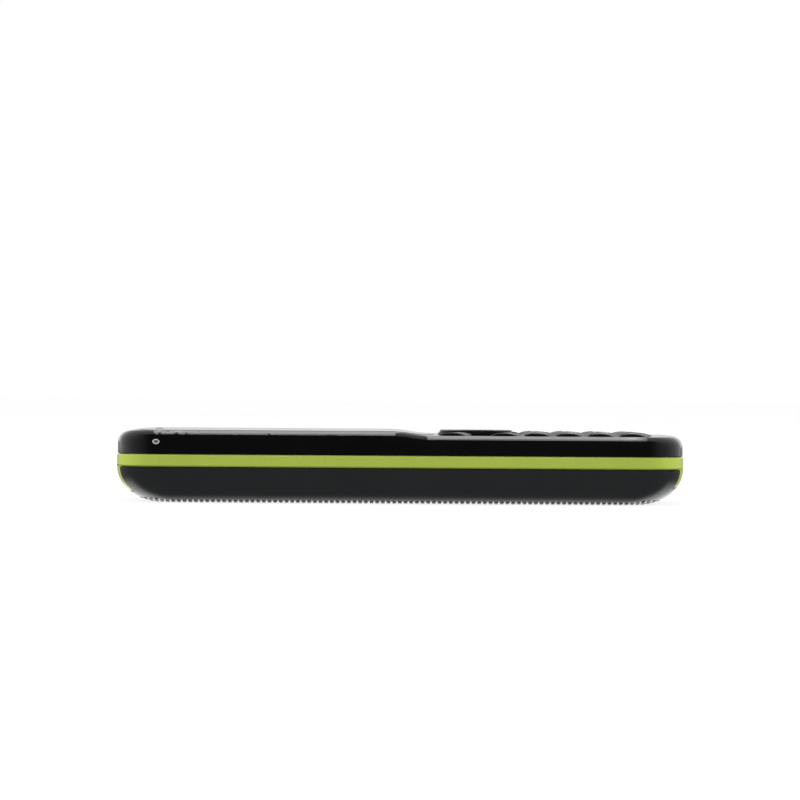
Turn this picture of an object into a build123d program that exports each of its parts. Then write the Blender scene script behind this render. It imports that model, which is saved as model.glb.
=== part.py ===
from build123d import *
import math
import os

os.makedirs("parts", exist_ok=True)

# All sizes are in millimetres. The phone lies on its back: +Z is out of the display,
# +X runs from the earpiece end to the keypad end, and the origin is under its middle.

# Outer form
BODY_LENGTH = 104.0
BODY_WIDTH = 45.0
CORNER_RADIUS = 6.5
LOWER_CORNER = 4.0
END_BOW = 1.8
END_CURVE = 7.6
SIDE_CURVE = 5.0
CURVE_STEPS = 6
SEAM_GAP = 0.15
SEAM_INSET = 0.1
FRONT_DRAFT = 0.15
TOP_ROUND = 2.0
NOSE_RUN = 5.5
NOSE_RADIUS = 17.0
BAND_HEIGHT = 2.2
BAND_CHAMFER = 0.25
DECK_STEP = 0.7
STEP_RUN = 8.3

# Thicknesses, from the resting face upwards
COVER_WALL = 1.2
BATTERY_THICKNESS = 4.05
BATTERY_CLEARANCE = 0.25
FLOOR_THICKNESS = 0.9
BAND_RISE = 0.8
COMPONENT_SPACE = 1.7
BOARD_THICKNESS = 0.8
DOME_FILM = 0.1
DOME_HEIGHT = 0.3
MAT_THICKNESS = 0.3
MAT_GAP = 0.05
KEY_TRAVEL = 0.35
PLUNGER_HEIGHT = 0.3
FLANGE_THICKNESS = 0.35
FLANGE_GAP = 0.15
DECK_WALL = 1.3

BATTERY_BOTTOM = COVER_WALL + BATTERY_CLEARANCE
BATTERY_TOP = BATTERY_BOTTOM + BATTERY_THICKNESS
FLOOR_BOTTOM = BATTERY_TOP + BATTERY_CLEARANCE
FLOOR_TOP = FLOOR_BOTTOM + FLOOR_THICKNESS
BAND_BOTTOM = FLOOR_BOTTOM + BAND_RISE
BAND_TOP = BAND_BOTTOM + BAND_HEIGHT
BOARD_BOTTOM = FLOOR_TOP + COMPONENT_SPACE
BOARD_TOP = BOARD_BOTTOM + BOARD_THICKNESS
DOME_TOP = BOARD_TOP + DOME_FILM + DOME_HEIGHT
MAT_BOTTOM = DOME_TOP + MAT_GAP
MAT_TOP = MAT_BOTTOM + MAT_THICKNESS
PLUNGER_BOTTOM = MAT_TOP + MAT_GAP + KEY_TRAVEL
FLANGE_BOTTOM = PLUNGER_BOTTOM + PLUNGER_HEIGHT
FLANGE_TOP = FLANGE_BOTTOM + FLANGE_THICKNESS
KEY_CEILING = FLANGE_TOP + FLANGE_GAP
KEYPAD_DECK = KEY_CEILING + DECK_WALL
DISPLAY_DECK = KEYPAD_DECK + DECK_STEP
FRONT_BOTTOM = BAND_TOP + SEAM_GAP
TOP_END = -BODY_LENGTH / 2
BOTTOM_END = BODY_LENGTH / 2

# Walls of the front housing and of the frame's tray
FRONT_WALL = 1.7
TRAY_INSET = 1.5
TRAY_WALL = 1.1
LIP_HEIGHT = 0.6
FIT_GAP = 0.15
BOARD_INSET = TRAY_INSET + TRAY_WALL + FIT_GAP

# End panels of the frame, let into the cover at both short ends
PANEL_FROM_SIDE = 4.5
TOP_PANEL_DROP = 4.5
BOTTOM_PANEL_DROP = 3.3
PANEL_DEPTH = 4.0

# Keys
KEY_LENGTH = 4.8
KEY_CLEARANCE = 0.15
KEY_OVERHANG = 0.3
KEY_RISE = 0.55
KEY_CROWN = 6.5
KEY_ROUND = 0.25
KEY_CORNER = 0.9
KEY_SIDE_MARGIN = 3.4
COLUMN_GAP = 1.0
ROW_PITCH = 5.75
ROW_COUNT = 4
ROW_ARC = 90.0
LAST_ROW_FROM_END = 8.25
CALL_ROW_GAP = 5.9
SOFT_ROW_GAP = 9.3
SIDE_KEY_GAP = 1.8
PLUNGER_RADIUS = 1.1
DOME_RADIUS = 1.45
NUMBER_ROWS = (("1", "2", "3"), ("4", "5", "6"), ("7", "8", "9"), ("star", "0", "hash"))

# Navigation pad
NAV_LENGTH = 13.6
NAV_WIDTH = 16.0
NAV_CORNER = 4.0
NAV_RISE = 0.82
NAV_CHAMFER = 0.6
NAV_CLEARANCE = 0.25
NAV_POCKET = 0.45
NAV_FLANGE_OVERHANG = 0.45
NAV_TILT_GAP = 0.25
NAV_BASE_THICKNESS = 0.3
SELECT_RADIUS = 3.2
SELECT_CLEARANCE = 0.3
SELECT_FLANGE = 0.6
SELECT_FLANGE_THICKNESS = 0.2
SELECT_RISE = 0.7
SELECT_ROUND = 0.3

# Display
LENS_INSET = 2.3
LENS_END_INSET = 4.2
LENS_THICKNESS = 0.85
LENS_PROUD = 0.05
LENS_GAP = 0.1
LENS_EDGE_RADIUS = 33.0
LENS_TO_NAV = 0.95
DISPLAY_THICKNESS = 2.1
DISPLAY_FROM_END = 10.5
DISPLAY_FROM_SIDE = 5.0
DISPLAY_TO_PAD = 4.9
VIEW_END_BORDER = 4.0
VIEW_SIDE_BORDER = 3.0
LENS_SEAT_WALL = 0.65
GASKET_THICKNESS = 0.2
GASKET_WIDTH = 1.5
GLASS_THICKNESS = 1.0

# Earpiece, strap eyelet and microphone
EARPIECE_FROM_END = 7.6
EAR_SLOT_LENGTH = 8.0
EAR_SLOT_WIDTH = 1.3
RECEIVER_LENGTH = 10.0
RECEIVER_WIDTH = 5.2
RECEIVER_HEIGHT = 2.0
RECEIVER_CORNER = 2.4
GRILLE_HOLES = 7
GRILLE_HOLE_RADIUS = 0.3
GRILLE_PITCH = 0.9
EYELET_FROM_END = 8.0
EYELET_LENGTH = 1.3
EYELET_HEIGHT = 0.95
EYELET_WALL = 0.2
EYELET_FROM_DECK = 2.05
MIC_FROM_END = 4.1
MIC_FROM_SIDE = 15.5
MIC_RADIUS = 1.35
MIC_HEIGHT = 1.0
MIC_HOLE_RADIUS = 0.45

# Battery, contacts and card
BATTERY_FROM_SIDE = 5.5
BATTERY_CORNER = 1.5
BAY_WALL = 1.0
TERMINAL_WIDTH = 2.0
TERMINAL_HEIGHT = 2.4
TERMINAL_PITCH = 3.0
TERMINAL_DEPTH = 0.3
CONTACT_BLOCK_DEPTH = 2.6
CONTACT_BLOCK_WIDTH = 9.0
CARD_LENGTH = 25.0
CARD_WIDTH = 15.0
CARD_THICKNESS = 0.76
CARD_CORNER = 1.0
CARD_KEY_CUT = 3.0
CARD_FROM_BATTERY_END = 3.0
RAIL_WIDTH = 0.8
RAIL_GRIP = 0.6
RAIL_THICKNESS = 0.2
CAN_GAP = 1.0

# Sockets and what hangs under the board
JACK_RADIUS = 1.8
JACK_LENGTH = 12.0
JACK_WIDTH = 6.6
JACK_FROM_SIDE = 13.5
JACK_AXIS_DROP = 1.2
JACK_NOSE_RADIUS = 2.5
JACK_NOSE_LENGTH = 3.2
JACK_FROM_END = 3.6
SOCKET_WIDTH = 7.6
SOCKET_HEIGHT = 2.5
SOCKET_DEPTH = 5.2
SOCKET_WALL = 0.35
SOCKET_FROM_SIDE = 16.5
SOCKET_FROM_END = 1.4
TONGUE_WIDTH = 4.6
TONGUE_THICKNESS = 0.6
SPEAKER_RADIUS = 6.5
SPEAKER_HEIGHT = 3.6
SPEAKER_FROM_END = 12.2
SPEAKER_FROM_SIDE = 13.5
SPEAKER_RING = 0.8
SPEAKER_RING_HEIGHT = 2.0
CONE_DEPTH = 0.8
CONE_RIM = 1.0
CONE_MIDDLE_RADIUS = 2.2
SPEAKER_GASKET_RADIUS = 5.0
SPEAKER_GASKET_WALL = 1.2
SOUND_SLOTS = 5
SOUND_SLOT_WIDTH = 0.9
SOUND_SLOT_LENGTH = 7.0
SOUND_SLOT_PITCH = 1.9
MOTOR_RADIUS = 1.9
MOTOR_LENGTH = 9.0
MOTOR_FROM_BATTERY = 6.5
MOTOR_FROM_SIDE = 13.8
MOTOR_TO_ANTENNA = 2.0
MOTOR_SHAFT = 0.4
WEIGHT_LENGTH = 3.2
WEIGHT_GAP = 0.5
WEIGHT_SHRINK = 0.2
ANTENNA_LENGTH = 15.0
ANTENNA_FROM_SIDE = 7.0
ANTENNA_FROM_END = 6.6
ANTENNA_HEIGHT = 3.3
STRIP_THICKNESS = 0.25
STRIP_WIDTH = 3.0

# Screws
SCREW_RADIUS = 0.8
SCREW_HEAD_RADIUS = 1.4
SCREW_HEAD_HEIGHT = 0.8
SCREW_CLEARANCE = 0.15
BOSS_RADIUS = 1.6
TOP_SCREW_FROM_END = 6.5
TOP_SCREW_FROM_SIDE = 6.2
BOTTOM_SCREW_FROM_END = 4.4
BOTTOM_SCREW_FROM_SIDE = 9.5

# Catch tabs on the cover's rim
TAB_LENGTH = 5.0
TAB_THICKNESS = 0.7
TAB_RISE = 0.9
TAB_PITCH = 30.0

OVERSHOOT = 1.0


def block(x_range, y_range, z_range):
    """A box between two values on each axis."""
    corner = [min(pair) for pair in (x_range, y_range, z_range)]
    size = [abs(pair[1] - pair[0]) for pair in (x_range, y_range, z_range)]
    return Pos(*corner) * Box(*size, align=Align.MIN)


def around(middle, size):
    """The two ends of a stretch that is centred on a value."""
    return middle - size / 2, middle + size / 2


def disc(x, y, radius, z_range):
    """An upright cylinder between two heights."""
    return Pos(x, y, z_range[0]) * extrude(Circle(radius), z_range[1] - z_range[0])


def slab(face, z_range):
    """A plan face made solid between two heights."""
    return Pos(0, 0, z_range[0]) * extrude(face, z_range[1] - z_range[0])


def rounded_slab(x_range, y_range, z_range, radius):
    """A block with its four upright edges rounded."""
    size = (x_range[1] - x_range[0], y_range[1] - y_range[0])
    face = Pos(sum(x_range) / 2, sum(y_range) / 2) * RectangleRounded(*size, radius)
    return slab(face, z_range)


def cylinder_along_y(x, z, radius, y_range):
    """A round bar across the phone."""
    face = Rot(90, 0, 0) * Circle(radius)
    return Pos(x, y_range[1], z) * extrude(face, y_range[1] - y_range[0])


def cylinder_along_x(y, z, radius, x_range):
    """A round bar along the phone."""
    face = Rot(0, 90, 0) * Circle(radius)
    return Pos(x_range[0], y, z) * extrude(face, x_range[1] - x_range[0])


def outline(end_inset, side_inset, corner):
    """The plan of the phone: straight sides, bowed ends and round corners."""
    tip = BODY_LENGTH / 2 - end_inset
    shoulder = tip - END_BOW
    side = BODY_WIDTH / 2 - side_inset
    edges = [
        ThreePointArc((shoulder, -side), (tip, 0), (shoulder, side)),
        Line((shoulder, side), (-shoulder, side)),
        ThreePointArc((-shoulder, side), (-tip, 0), (-shoulder, -side)),
        Line((-shoulder, -side), (shoulder, -side)),
    ]
    face = make_face(edges)
    return fillet(face.vertices(), corner)


def inner_outline(inset):
    """The plan drawn in evenly by a wall."""
    return outline(inset, inset, CORNER_RADIUS - inset)


def lower_form(wall):
    """The body below the band, drawn in by a wall: a quarter ellipse all round."""
    sections = []
    for step in range(CURVE_STEPS + 1):
        turn = math.radians(90 * step / CURVE_STEPS)
        height = wall + (BAND_BOTTOM - wall) * (1 - math.sin(turn))
        inward = 1 - math.cos(turn)
        end_inset = wall + (END_CURVE - wall) * inward
        side_inset = wall + (SIDE_CURVE - wall) * inward
        corner = CORNER_RADIUS - wall + (LOWER_CORNER - CORNER_RADIUS) * inward
        sections.append(Pos(0, 0, height) * outline(end_inset, side_inset, corner))
    return loft(sections)


def row_shift(y):
    """How far a key row bends towards the display at a distance from the middle."""
    return ROW_ARC - math.sqrt(ROW_ARC**2 - y**2)


def row_band(row_x, y_range, length, corner):
    """The plan of one key: two arcs of its row and two straight sides."""
    low, high = y_range
    middle = (low + high) / 2
    start = row_x - length / 2
    end = row_x + length / 2
    edges = [
        ThreePointArc(
            (start - row_shift(low), low),
            (start - row_shift(middle), middle),
            (start - row_shift(high), high),
        ),
        Line((start - row_shift(high), high), (end - row_shift(high), high)),
        ThreePointArc(
            (end - row_shift(high), high),
            (end - row_shift(middle), middle),
            (end - row_shift(low), low),
        ),
        Line((end - row_shift(low), low), (start - row_shift(low), low)),
    ]
    return fillet(make_face(edges).vertices(), corner)


def grown(y_range, amount):
    """A stretch made longer by the same amount at both ends."""
    return y_range[0] - amount, y_range[1] + amount


HALF_WIDTH = BODY_WIDTH / 2
KEYPAD_HALF = HALF_WIDTH - KEY_SIDE_MARGIN
SIDE_KEY_WIDTH = KEYPAD_HALF - NAV_WIDTH / 2 - SIDE_KEY_GAP
COLUMN_WIDTH = (2 * KEYPAD_HALF - 2 * COLUMN_GAP) / 3
FIRST_ROW_X = BOTTOM_END - LAST_ROW_FROM_END - (ROW_COUNT - 1) * ROW_PITCH
CALL_ROW_X = FIRST_ROW_X - CALL_ROW_GAP
SOFT_ROW_X = CALL_ROW_X - SOFT_ROW_GAP
NAV_X = (SOFT_ROW_X + CALL_ROW_X) / 2 - row_shift(KEYPAD_HALF)
LENS_END = NAV_X - NAV_LENGTH / 2 - LENS_TO_NAV
STEP_START = LENS_END - STEP_RUN
DISPLAY_CEILING = DISPLAY_DECK + LENS_PROUD - LENS_THICKNESS - LENS_SEAT_WALL
CEILING_CHANGE = NAV_X - NAV_LENGTH / 2 - NAV_FLANGE_OVERHANG - NAV_CLEARANCE


def key_places():
    """The name, row and sideways stretch of every key that slides straight down."""
    places = []
    for row, names in enumerate(NUMBER_ROWS):
        for column, name in enumerate(names):
            low = -KEYPAD_HALF + column * (COLUMN_WIDTH + COLUMN_GAP)
            row_x = FIRST_ROW_X + row * ROW_PITCH
            places.append(("key_" + name, row_x, (low, low + COLUMN_WIDTH)))
    left = (-KEYPAD_HALF, SIDE_KEY_WIDTH - KEYPAD_HALF)
    right = (KEYPAD_HALF - SIDE_KEY_WIDTH, KEYPAD_HALF)
    places.append(("soft_key_left", SOFT_ROW_X, left))
    places.append(("soft_key_right", SOFT_ROW_X, right))
    places.append(("call_key", CALL_ROW_X, left))
    places.append(("end_key", CALL_ROW_X, right))
    return places


def key_middle(row_x, y_range):
    """The middle of a key in plan."""
    middle = sum(y_range) / 2
    return row_x - row_shift(middle), middle


def make_key(row_x, y_range):
    """A key cap with a crowned top, a flange that holds it in and a plunger."""
    top = KEYPAD_DECK + KEY_RISE
    cap = slab(row_band(row_x, y_range, KEY_LENGTH, KEY_CORNER), (FLANGE_BOTTOM, top + OVERSHOOT))
    crown = Pos(row_x - ROW_ARC, 0, top - KEY_CROWN) * Torus(ROW_ARC, KEY_CROWN)
    flange_face = row_band(
        row_x,
        grown(y_range, KEY_OVERHANG),
        KEY_LENGTH + 2 * KEY_OVERHANG,
        KEY_CORNER,
    )
    x, y = key_middle(row_x, y_range)
    plunger = disc(x, y, PLUNGER_RADIUS, (PLUNGER_BOTTOM, FLANGE_BOTTOM))
    cap = cap & crown
    rim = cap.faces().sort_by(Axis.Z)[-1].edges()
    cap = fillet(rim, KEY_ROUND)
    return cap + slab(flange_face, (FLANGE_BOTTOM, FLANGE_TOP)) + plunger


def nav_face(growth):
    """The plan of the navigation pad, grown by a clearance or an overhang."""
    size = (NAV_LENGTH + 2 * growth, NAV_WIDTH + 2 * growth)
    return Pos(NAV_X, 0) * RectangleRounded(*size, NAV_CORNER + growth)


NAV_BASE_BOTTOM = MAT_TOP + NAV_TILT_GAP
NAV_BASE_TOP = NAV_BASE_BOTTOM + NAV_BASE_THICKNESS
NAV_RING_BOTTOM = NAV_BASE_TOP + NAV_TILT_GAP
NAV_FLANGE_TOP = NAV_RING_BOTTOM + FLANGE_THICKNESS
NAV_HOLE_RADIUS = SELECT_RADIUS + SELECT_CLEARANCE
NAV_BASE_HOLE = SELECT_RADIUS + SELECT_FLANGE + SELECT_CLEARANCE
RIDGE_RADIUS = NAV_TILT_GAP - MAT_GAP


def make_nav_ring():
    """The four-way pad: a sloped ring with a flange under the deck."""
    top = KEYPAD_DECK + NAV_RISE
    ring = slab(nav_face(0), (NAV_RING_BOTTOM, top))
    ring = chamfer(ring.edges().group_by(Axis.Z)[-1], NAV_CHAMFER, NAV_CHAMFER / 2)
    ring += slab(nav_face(NAV_FLANGE_OVERHANG), (NAV_RING_BOTTOM, NAV_FLANGE_TOP))
    dish = disc(NAV_X, 0, NAV_HOLE_RADIUS, (NAV_RING_BOTTOM - OVERSHOOT, top + OVERSHOOT))
    return ring - dish


def make_nav_base():
    """The rocker plate under the pad, with a half-round pivot ridge on each face."""
    plate = slab(nav_face(0), (NAV_BASE_BOTTOM, NAV_BASE_TOP))
    across = around(0, NAV_WIDTH - NAV_CORNER)
    plate += cylinder_along_y(NAV_X, NAV_BASE_TOP, RIDGE_RADIUS, across)
    along = around(NAV_X, NAV_LENGTH - NAV_CORNER)
    plate += cylinder_along_x(0, NAV_BASE_BOTTOM, RIDGE_RADIUS, along)
    hole = (NAV_BASE_BOTTOM - OVERSHOOT, NAV_BASE_TOP + OVERSHOOT)
    return plate - disc(NAV_X, 0, NAV_BASE_HOLE, hole)


def make_select_key():
    """The round key in the middle of the pad."""
    top = KEYPAD_DECK + SELECT_RISE
    bottom = PLUNGER_BOTTOM
    cap = disc(NAV_X, 0, SELECT_RADIUS, (bottom, top))
    cap = fillet(cap.edges().group_by(Axis.Z)[-1], SELECT_ROUND)
    flange_z = (bottom, bottom + SELECT_FLANGE_THICKNESS)
    return cap + disc(NAV_X, 0, SELECT_RADIUS + SELECT_FLANGE, flange_z)


def deck_prism():
    """Everything below the top: it falls at the display end and in an S to the keypad."""
    middle = (STEP_START + STEP_RUN / 2, (DISPLAY_DECK + KEYPAD_DECK) / 2)
    start = (STEP_START, DISPLAY_DECK)
    end = (LENS_END, KEYPAD_DECK)
    left = TOP_END - OVERSHOOT
    right = BOTTOM_END + OVERSHOOT
    nose = (TOP_END + NOSE_RUN, DISPLAY_DECK)
    drop = NOSE_RADIUS - math.sqrt(NOSE_RADIUS**2 - (NOSE_RUN + OVERSHOOT) ** 2)
    nose_end = (left, DISPLAY_DECK - drop)
    first = TangentArc(start, middle, tangent=(1, 0))
    second = TangentArc(end, middle, tangent=(-1, 0))
    edges = [
        TangentArc(nose, nose_end, tangent=(-1, 0)),
        Line(nose, start),
        first,
        second,
        Line(end, (right, KEYPAD_DECK)),
        Line((right, KEYPAD_DECK), (right, 0)),
        Line((right, 0), (left, 0)),
        Line((left, 0), nose_end),
    ]
    profile = Plane.XZ * make_face(edges)
    return extrude(profile, BODY_WIDTH, both=True)


def front_envelope():
    """The outer form of the front housing, drafted and rounded along its top edge."""
    foot = Pos(0, 0, FRONT_BOTTOM) * inner_outline(SEAM_INSET)
    head = Pos(0, 0, DISPLAY_DECK + OVERSHOOT) * inner_outline(SEAM_INSET + FRONT_DRAFT)
    form = loft([foot, head], ruled=True) & deck_prism()
    near_side = BODY_WIDTH / 4
    near_end = BODY_LENGTH / 2 - CORNER_RADIUS
    rim = []
    for edge in form.edges():
        middle = edge.position_at(0.5)
        outer = abs(middle.Y) > near_side or abs(middle.X) > near_end
        if outer and middle.Z > KEY_CEILING and abs(edge.tangent_at(0.5).Z) < 0.5:
            rim.append(edge)
    return fillet(rim, TOP_ROUND)


def lens_face(growth):
    """The plan of the display window: it ends in one wide arc above the keypad."""
    arc = Pos(LENS_END - LENS_EDGE_RADIUS) * Circle(LENS_EDGE_RADIUS + growth)
    corner = CORNER_RADIUS - LENS_INSET + growth
    return outline(LENS_END_INSET - growth, LENS_INSET - growth, corner) & arc


EAR_X = TOP_END + EARPIECE_FROM_END
EYELET_X = TOP_END + EYELET_FROM_END
EYELET_Z = DISPLAY_DECK - EYELET_FROM_DECK
MIC_X = BOTTOM_END - MIC_FROM_END
MIC_Y = MIC_FROM_SIDE - HALF_WIDTH
LENS_BOTTOM = DISPLAY_DECK + LENS_PROUD - LENS_THICKNESS
DISPLAY_START = TOP_END + DISPLAY_FROM_END
DISPLAY_LENGTH = CEILING_CHANGE - DISPLAY_TO_PAD - DISPLAY_START
DISPLAY_WIDTH = BODY_WIDTH - 2 * DISPLAY_FROM_SIDE
DISPLAY_X = DISPLAY_START + DISPLAY_LENGTH / 2
VIEW_LENGTH = DISPLAY_LENGTH - 2 * VIEW_END_BORDER
VIEW_WIDTH = DISPLAY_WIDTH - 2 * VIEW_SIDE_BORDER
TOP_SCREW_Y = HALF_WIDTH - TOP_SCREW_FROM_SIDE
BOTTOM_SCREW_Y = HALF_WIDTH - BOTTOM_SCREW_FROM_SIDE
SCREWS = [
    (TOP_END + TOP_SCREW_FROM_END, -TOP_SCREW_Y),
    (TOP_END + TOP_SCREW_FROM_END, TOP_SCREW_Y),
    (BOTTOM_END - BOTTOM_SCREW_FROM_END, -BOTTOM_SCREW_Y),
    (BOTTOM_END - BOTTOM_SCREW_FROM_END, BOTTOM_SCREW_Y),
]


def ear_slot(growth, z_range):
    """The rounded slot over the receiver."""
    face = SlotOverall(EAR_SLOT_LENGTH + 2 * growth, EAR_SLOT_WIDTH + 2 * growth, rotation=90)
    return slab(Pos(EAR_X, 0) * face, z_range)


def eyelet_bar(growth, y_range):
    """An oval bar that runs through the long side wall at the strap hole."""
    face = Rot(90, 0, 0) * Ellipse(EYELET_LENGTH / 2 + growth, EYELET_HEIGHT / 2 + growth)
    return Pos(EYELET_X, y_range[1], EYELET_Z) * extrude(face, y_range[1] - y_range[0])


def make_front_housing():
    """The glossy front shell with its window seat, key holes and screw bosses."""
    shell = front_envelope()
    cavity = inner_outline(SEAM_INSET + FRONT_WALL)
    split = block((TOP_END, CEILING_CHANGE), around(0, BODY_WIDTH), (0, DISPLAY_DECK))
    shell -= slab(cavity, (FRONT_BOTTOM - OVERSHOOT, KEY_CEILING))
    shell -= slab(cavity, (FRONT_BOTTOM, DISPLAY_CEILING)) & split
    shell -= slab(lens_face(LENS_GAP), (LENS_BOTTOM, DISPLAY_DECK + OVERSHOOT))
    view = (around(DISPLAY_X, VIEW_LENGTH), around(0, VIEW_WIDTH))
    shell -= rounded_slab(*view, (DISPLAY_CEILING - OVERSHOOT, DISPLAY_DECK), KEY_CORNER)
    through = (KEY_CEILING - OVERSHOOT, KEYPAD_DECK + OVERSHOOT)
    for _, row_x, y_range in key_places():
        length = KEY_LENGTH + 2 * KEY_CLEARANCE
        corner = KEY_CORNER + KEY_CLEARANCE
        hole = row_band(row_x, grown(y_range, KEY_CLEARANCE), length, corner)
        shell -= slab(hole, through)
    shell -= slab(nav_face(NAV_CLEARANCE), through)
    pocket = nav_face(NAV_FLANGE_OVERHANG + NAV_CLEARANCE)
    shell -= slab(pocket, (KEY_CEILING - OVERSHOOT, KEY_CEILING + NAV_POCKET))
    shell -= ear_slot(0, (DISPLAY_CEILING - OVERSHOOT, DISPLAY_DECK))
    shell -= disc(MIC_X, MIC_Y, MIC_HOLE_RADIUS, through)
    shell -= eyelet_bar(0, (-BODY_WIDTH / 2 - OVERSHOOT, -BODY_WIDTH / 2 + FRONT_WALL + OVERSHOOT))
    for x, y in SCREWS:
        ceiling = DISPLAY_CEILING if x < 0 else KEY_CEILING
        shell += disc(x, y, BOSS_RADIUS, (BOARD_TOP + MAT_GAP, ceiling))
        shell -= disc(x, y, SCREW_RADIUS, (BOARD_TOP, ceiling))
    return shell


def make_display_window():
    """The clear window over the whole display end: its top follows the deck's curves."""
    lens = slab(lens_face(0), (LENS_BOTTOM, DISPLAY_DECK + LENS_PROUD))
    lens = lens & Pos(0, 0, LENS_PROUD) * deck_prism()
    return lens - ear_slot(0, (LENS_BOTTOM - OVERSHOOT, DISPLAY_DECK + OVERSHOOT))


def make_display_module():
    """The display: a glass cell in a shallow metal tray."""
    top = DISPLAY_CEILING - GASKET_THICKNESS
    x_range = around(DISPLAY_X, DISPLAY_LENGTH)
    y_range = around(0, DISPLAY_WIDTH)
    z_range = (top - DISPLAY_THICKNESS, top - GLASS_THICKNESS)
    return rounded_slab(x_range, y_range, z_range, KEY_CORNER)


def make_display_glass():
    """The glass cell on the tray."""
    top = DISPLAY_CEILING - GASKET_THICKNESS
    x_range = around(DISPLAY_X, DISPLAY_LENGTH - GASKET_WIDTH)
    y_range = around(0, DISPLAY_WIDTH - GASKET_WIDTH)
    return block(x_range, y_range, (top - GLASS_THICKNESS, top))


def make_display_gasket():
    """The foam frame between the glass and the housing."""
    z_range = (DISPLAY_CEILING - GASKET_THICKNESS, DISPLAY_CEILING)
    outer = block(
        around(DISPLAY_X, VIEW_LENGTH + 2 * GASKET_WIDTH),
        around(0, VIEW_WIDTH + 2 * GASKET_WIDTH),
        z_range,
    )
    return outer - block(around(DISPLAY_X, VIEW_LENGTH), around(0, VIEW_WIDTH), z_range)


def make_earpiece_grille():
    """The slotted insert under the earpiece opening."""
    grille = ear_slot(-MAT_GAP, (DISPLAY_CEILING, LENS_BOTTOM))
    for step in range(GRILLE_HOLES):
        y = (step - (GRILLE_HOLES - 1) / 2) * GRILLE_PITCH
        grille -= disc(EAR_X, y, GRILLE_HOLE_RADIUS, (DISPLAY_CEILING, LENS_BOTTOM))
    return grille


def make_earpiece_receiver():
    """The small speaker under the earpiece slot."""
    top = DISPLAY_CEILING - MAT_GAP
    x_range = around(EAR_X, RECEIVER_WIDTH)
    y_range = around(0, RECEIVER_LENGTH)
    return rounded_slab(x_range, y_range, (top - RECEIVER_HEIGHT, top), RECEIVER_CORNER)


def make_strap_eyelet():
    """The metal ring that lines the strap hole in the long side."""
    wall = (-BODY_WIDTH / 2, -BODY_WIDTH / 2 + SEAM_INSET + FRONT_WALL)
    ring = eyelet_bar(-MAT_GAP / 2, wall) - eyelet_bar(-EYELET_WALL, grown(wall, OVERSHOOT))
    return ring & front_envelope()


def lower_shell():
    """The shell below the band, shared by the cover and the frame's end panels."""
    return lower_form(0) - lower_form(COVER_WALL)


def panel_blocks(clearance):
    """The space of the two end panels, grown by a clearance."""
    half = HALF_WIDTH - PANEL_FROM_SIDE + clearance
    blocks = []
    for end, drop in ((TOP_END, TOP_PANEL_DROP), (BOTTOM_END, BOTTOM_PANEL_DROP)):
        inward = end - math.copysign(PANEL_DEPTH + clearance, end)
        outward = end + math.copysign(OVERSHOOT, end)
        z_range = (BAND_BOTTOM - drop - clearance, BAND_BOTTOM + OVERSHOOT)
        blocks.append(block((inward, outward), (-half, half), z_range))
    return blocks


def tab_places():
    """The middles of the catch tabs along each long side."""
    return [(step * TAB_PITCH, side) for step in (-1, 0, 1) for side in (-1, 1)]


def tab_block(x, side, clearance):
    """One catch tab, grown by a clearance."""
    outer = BODY_WIDTH / 2 - TRAY_INSET + FIT_GAP + TAB_THICKNESS / 2
    y_range = sorted((side * (outer + clearance), side * (outer - TAB_THICKNESS - clearance)))
    top = BAND_BOTTOM + TAB_RISE + clearance
    return block(around(x, TAB_LENGTH + 2 * clearance), y_range, (FLOOR_BOTTOM, top))


SPEAKER_X = TOP_END + SPEAKER_FROM_END
SPEAKER_Y = HALF_WIDTH - SPEAKER_FROM_SIDE
SPEAKER_TOP = FLOOR_BOTTOM - MAT_GAP
ANTENNA_END = BOTTOM_END - ANTENNA_FROM_END
ANTENNA_X = (ANTENNA_END - ANTENNA_LENGTH, ANTENNA_END)
ANTENNA_WIDTH = BODY_WIDTH - 2 * ANTENNA_FROM_SIDE
MOTOR_X = ANTENNA_X[0] - MOTOR_TO_ANTENNA - BAY_WALL - MOTOR_RADIUS
MOTOR_Y = MOTOR_FROM_SIDE - HALF_WIDTH
MOTOR_Z = FLOOR_BOTTOM - MOTOR_RADIUS - MAT_GAP
BATTERY_WIDTH = BODY_WIDTH - 2 * BATTERY_FROM_SIDE
BATTERY_X = (
    SPEAKER_X + SPEAKER_RADIUS + SPEAKER_RING + 2 * BATTERY_CLEARANCE + BAY_WALL,
    MOTOR_X - MOTOR_FROM_BATTERY,
)
BATTERY_Y = around(0, BATTERY_WIDTH)
CARD_END = BATTERY_X[1] - CARD_FROM_BATTERY_END
CARD_SLIDE = CARD_END - CARD_LENGTH - BATTERY_X[0]
CARD_TOP = FLOOR_TOP - MAT_GAP
CARD_BOTTOM = CARD_TOP - CARD_THICKNESS
JACK_Y = JACK_FROM_SIDE - HALF_WIDTH
JACK_Z = BAND_BOTTOM - JACK_AXIS_DROP
JACK_X = (TOP_END + JACK_FROM_END, TOP_END + JACK_FROM_END + JACK_LENGTH)
SOCKET_END = BOTTOM_END - SOCKET_FROM_END
SOCKET_X = (SOCKET_END - SOCKET_DEPTH, SOCKET_END)
SOCKET_Y = HALF_WIDTH - SOCKET_FROM_SIDE
SOCKET_Z = (BOARD_BOTTOM - SOCKET_HEIGHT - MAT_GAP, BOARD_BOTTOM - MAT_GAP)


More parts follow.
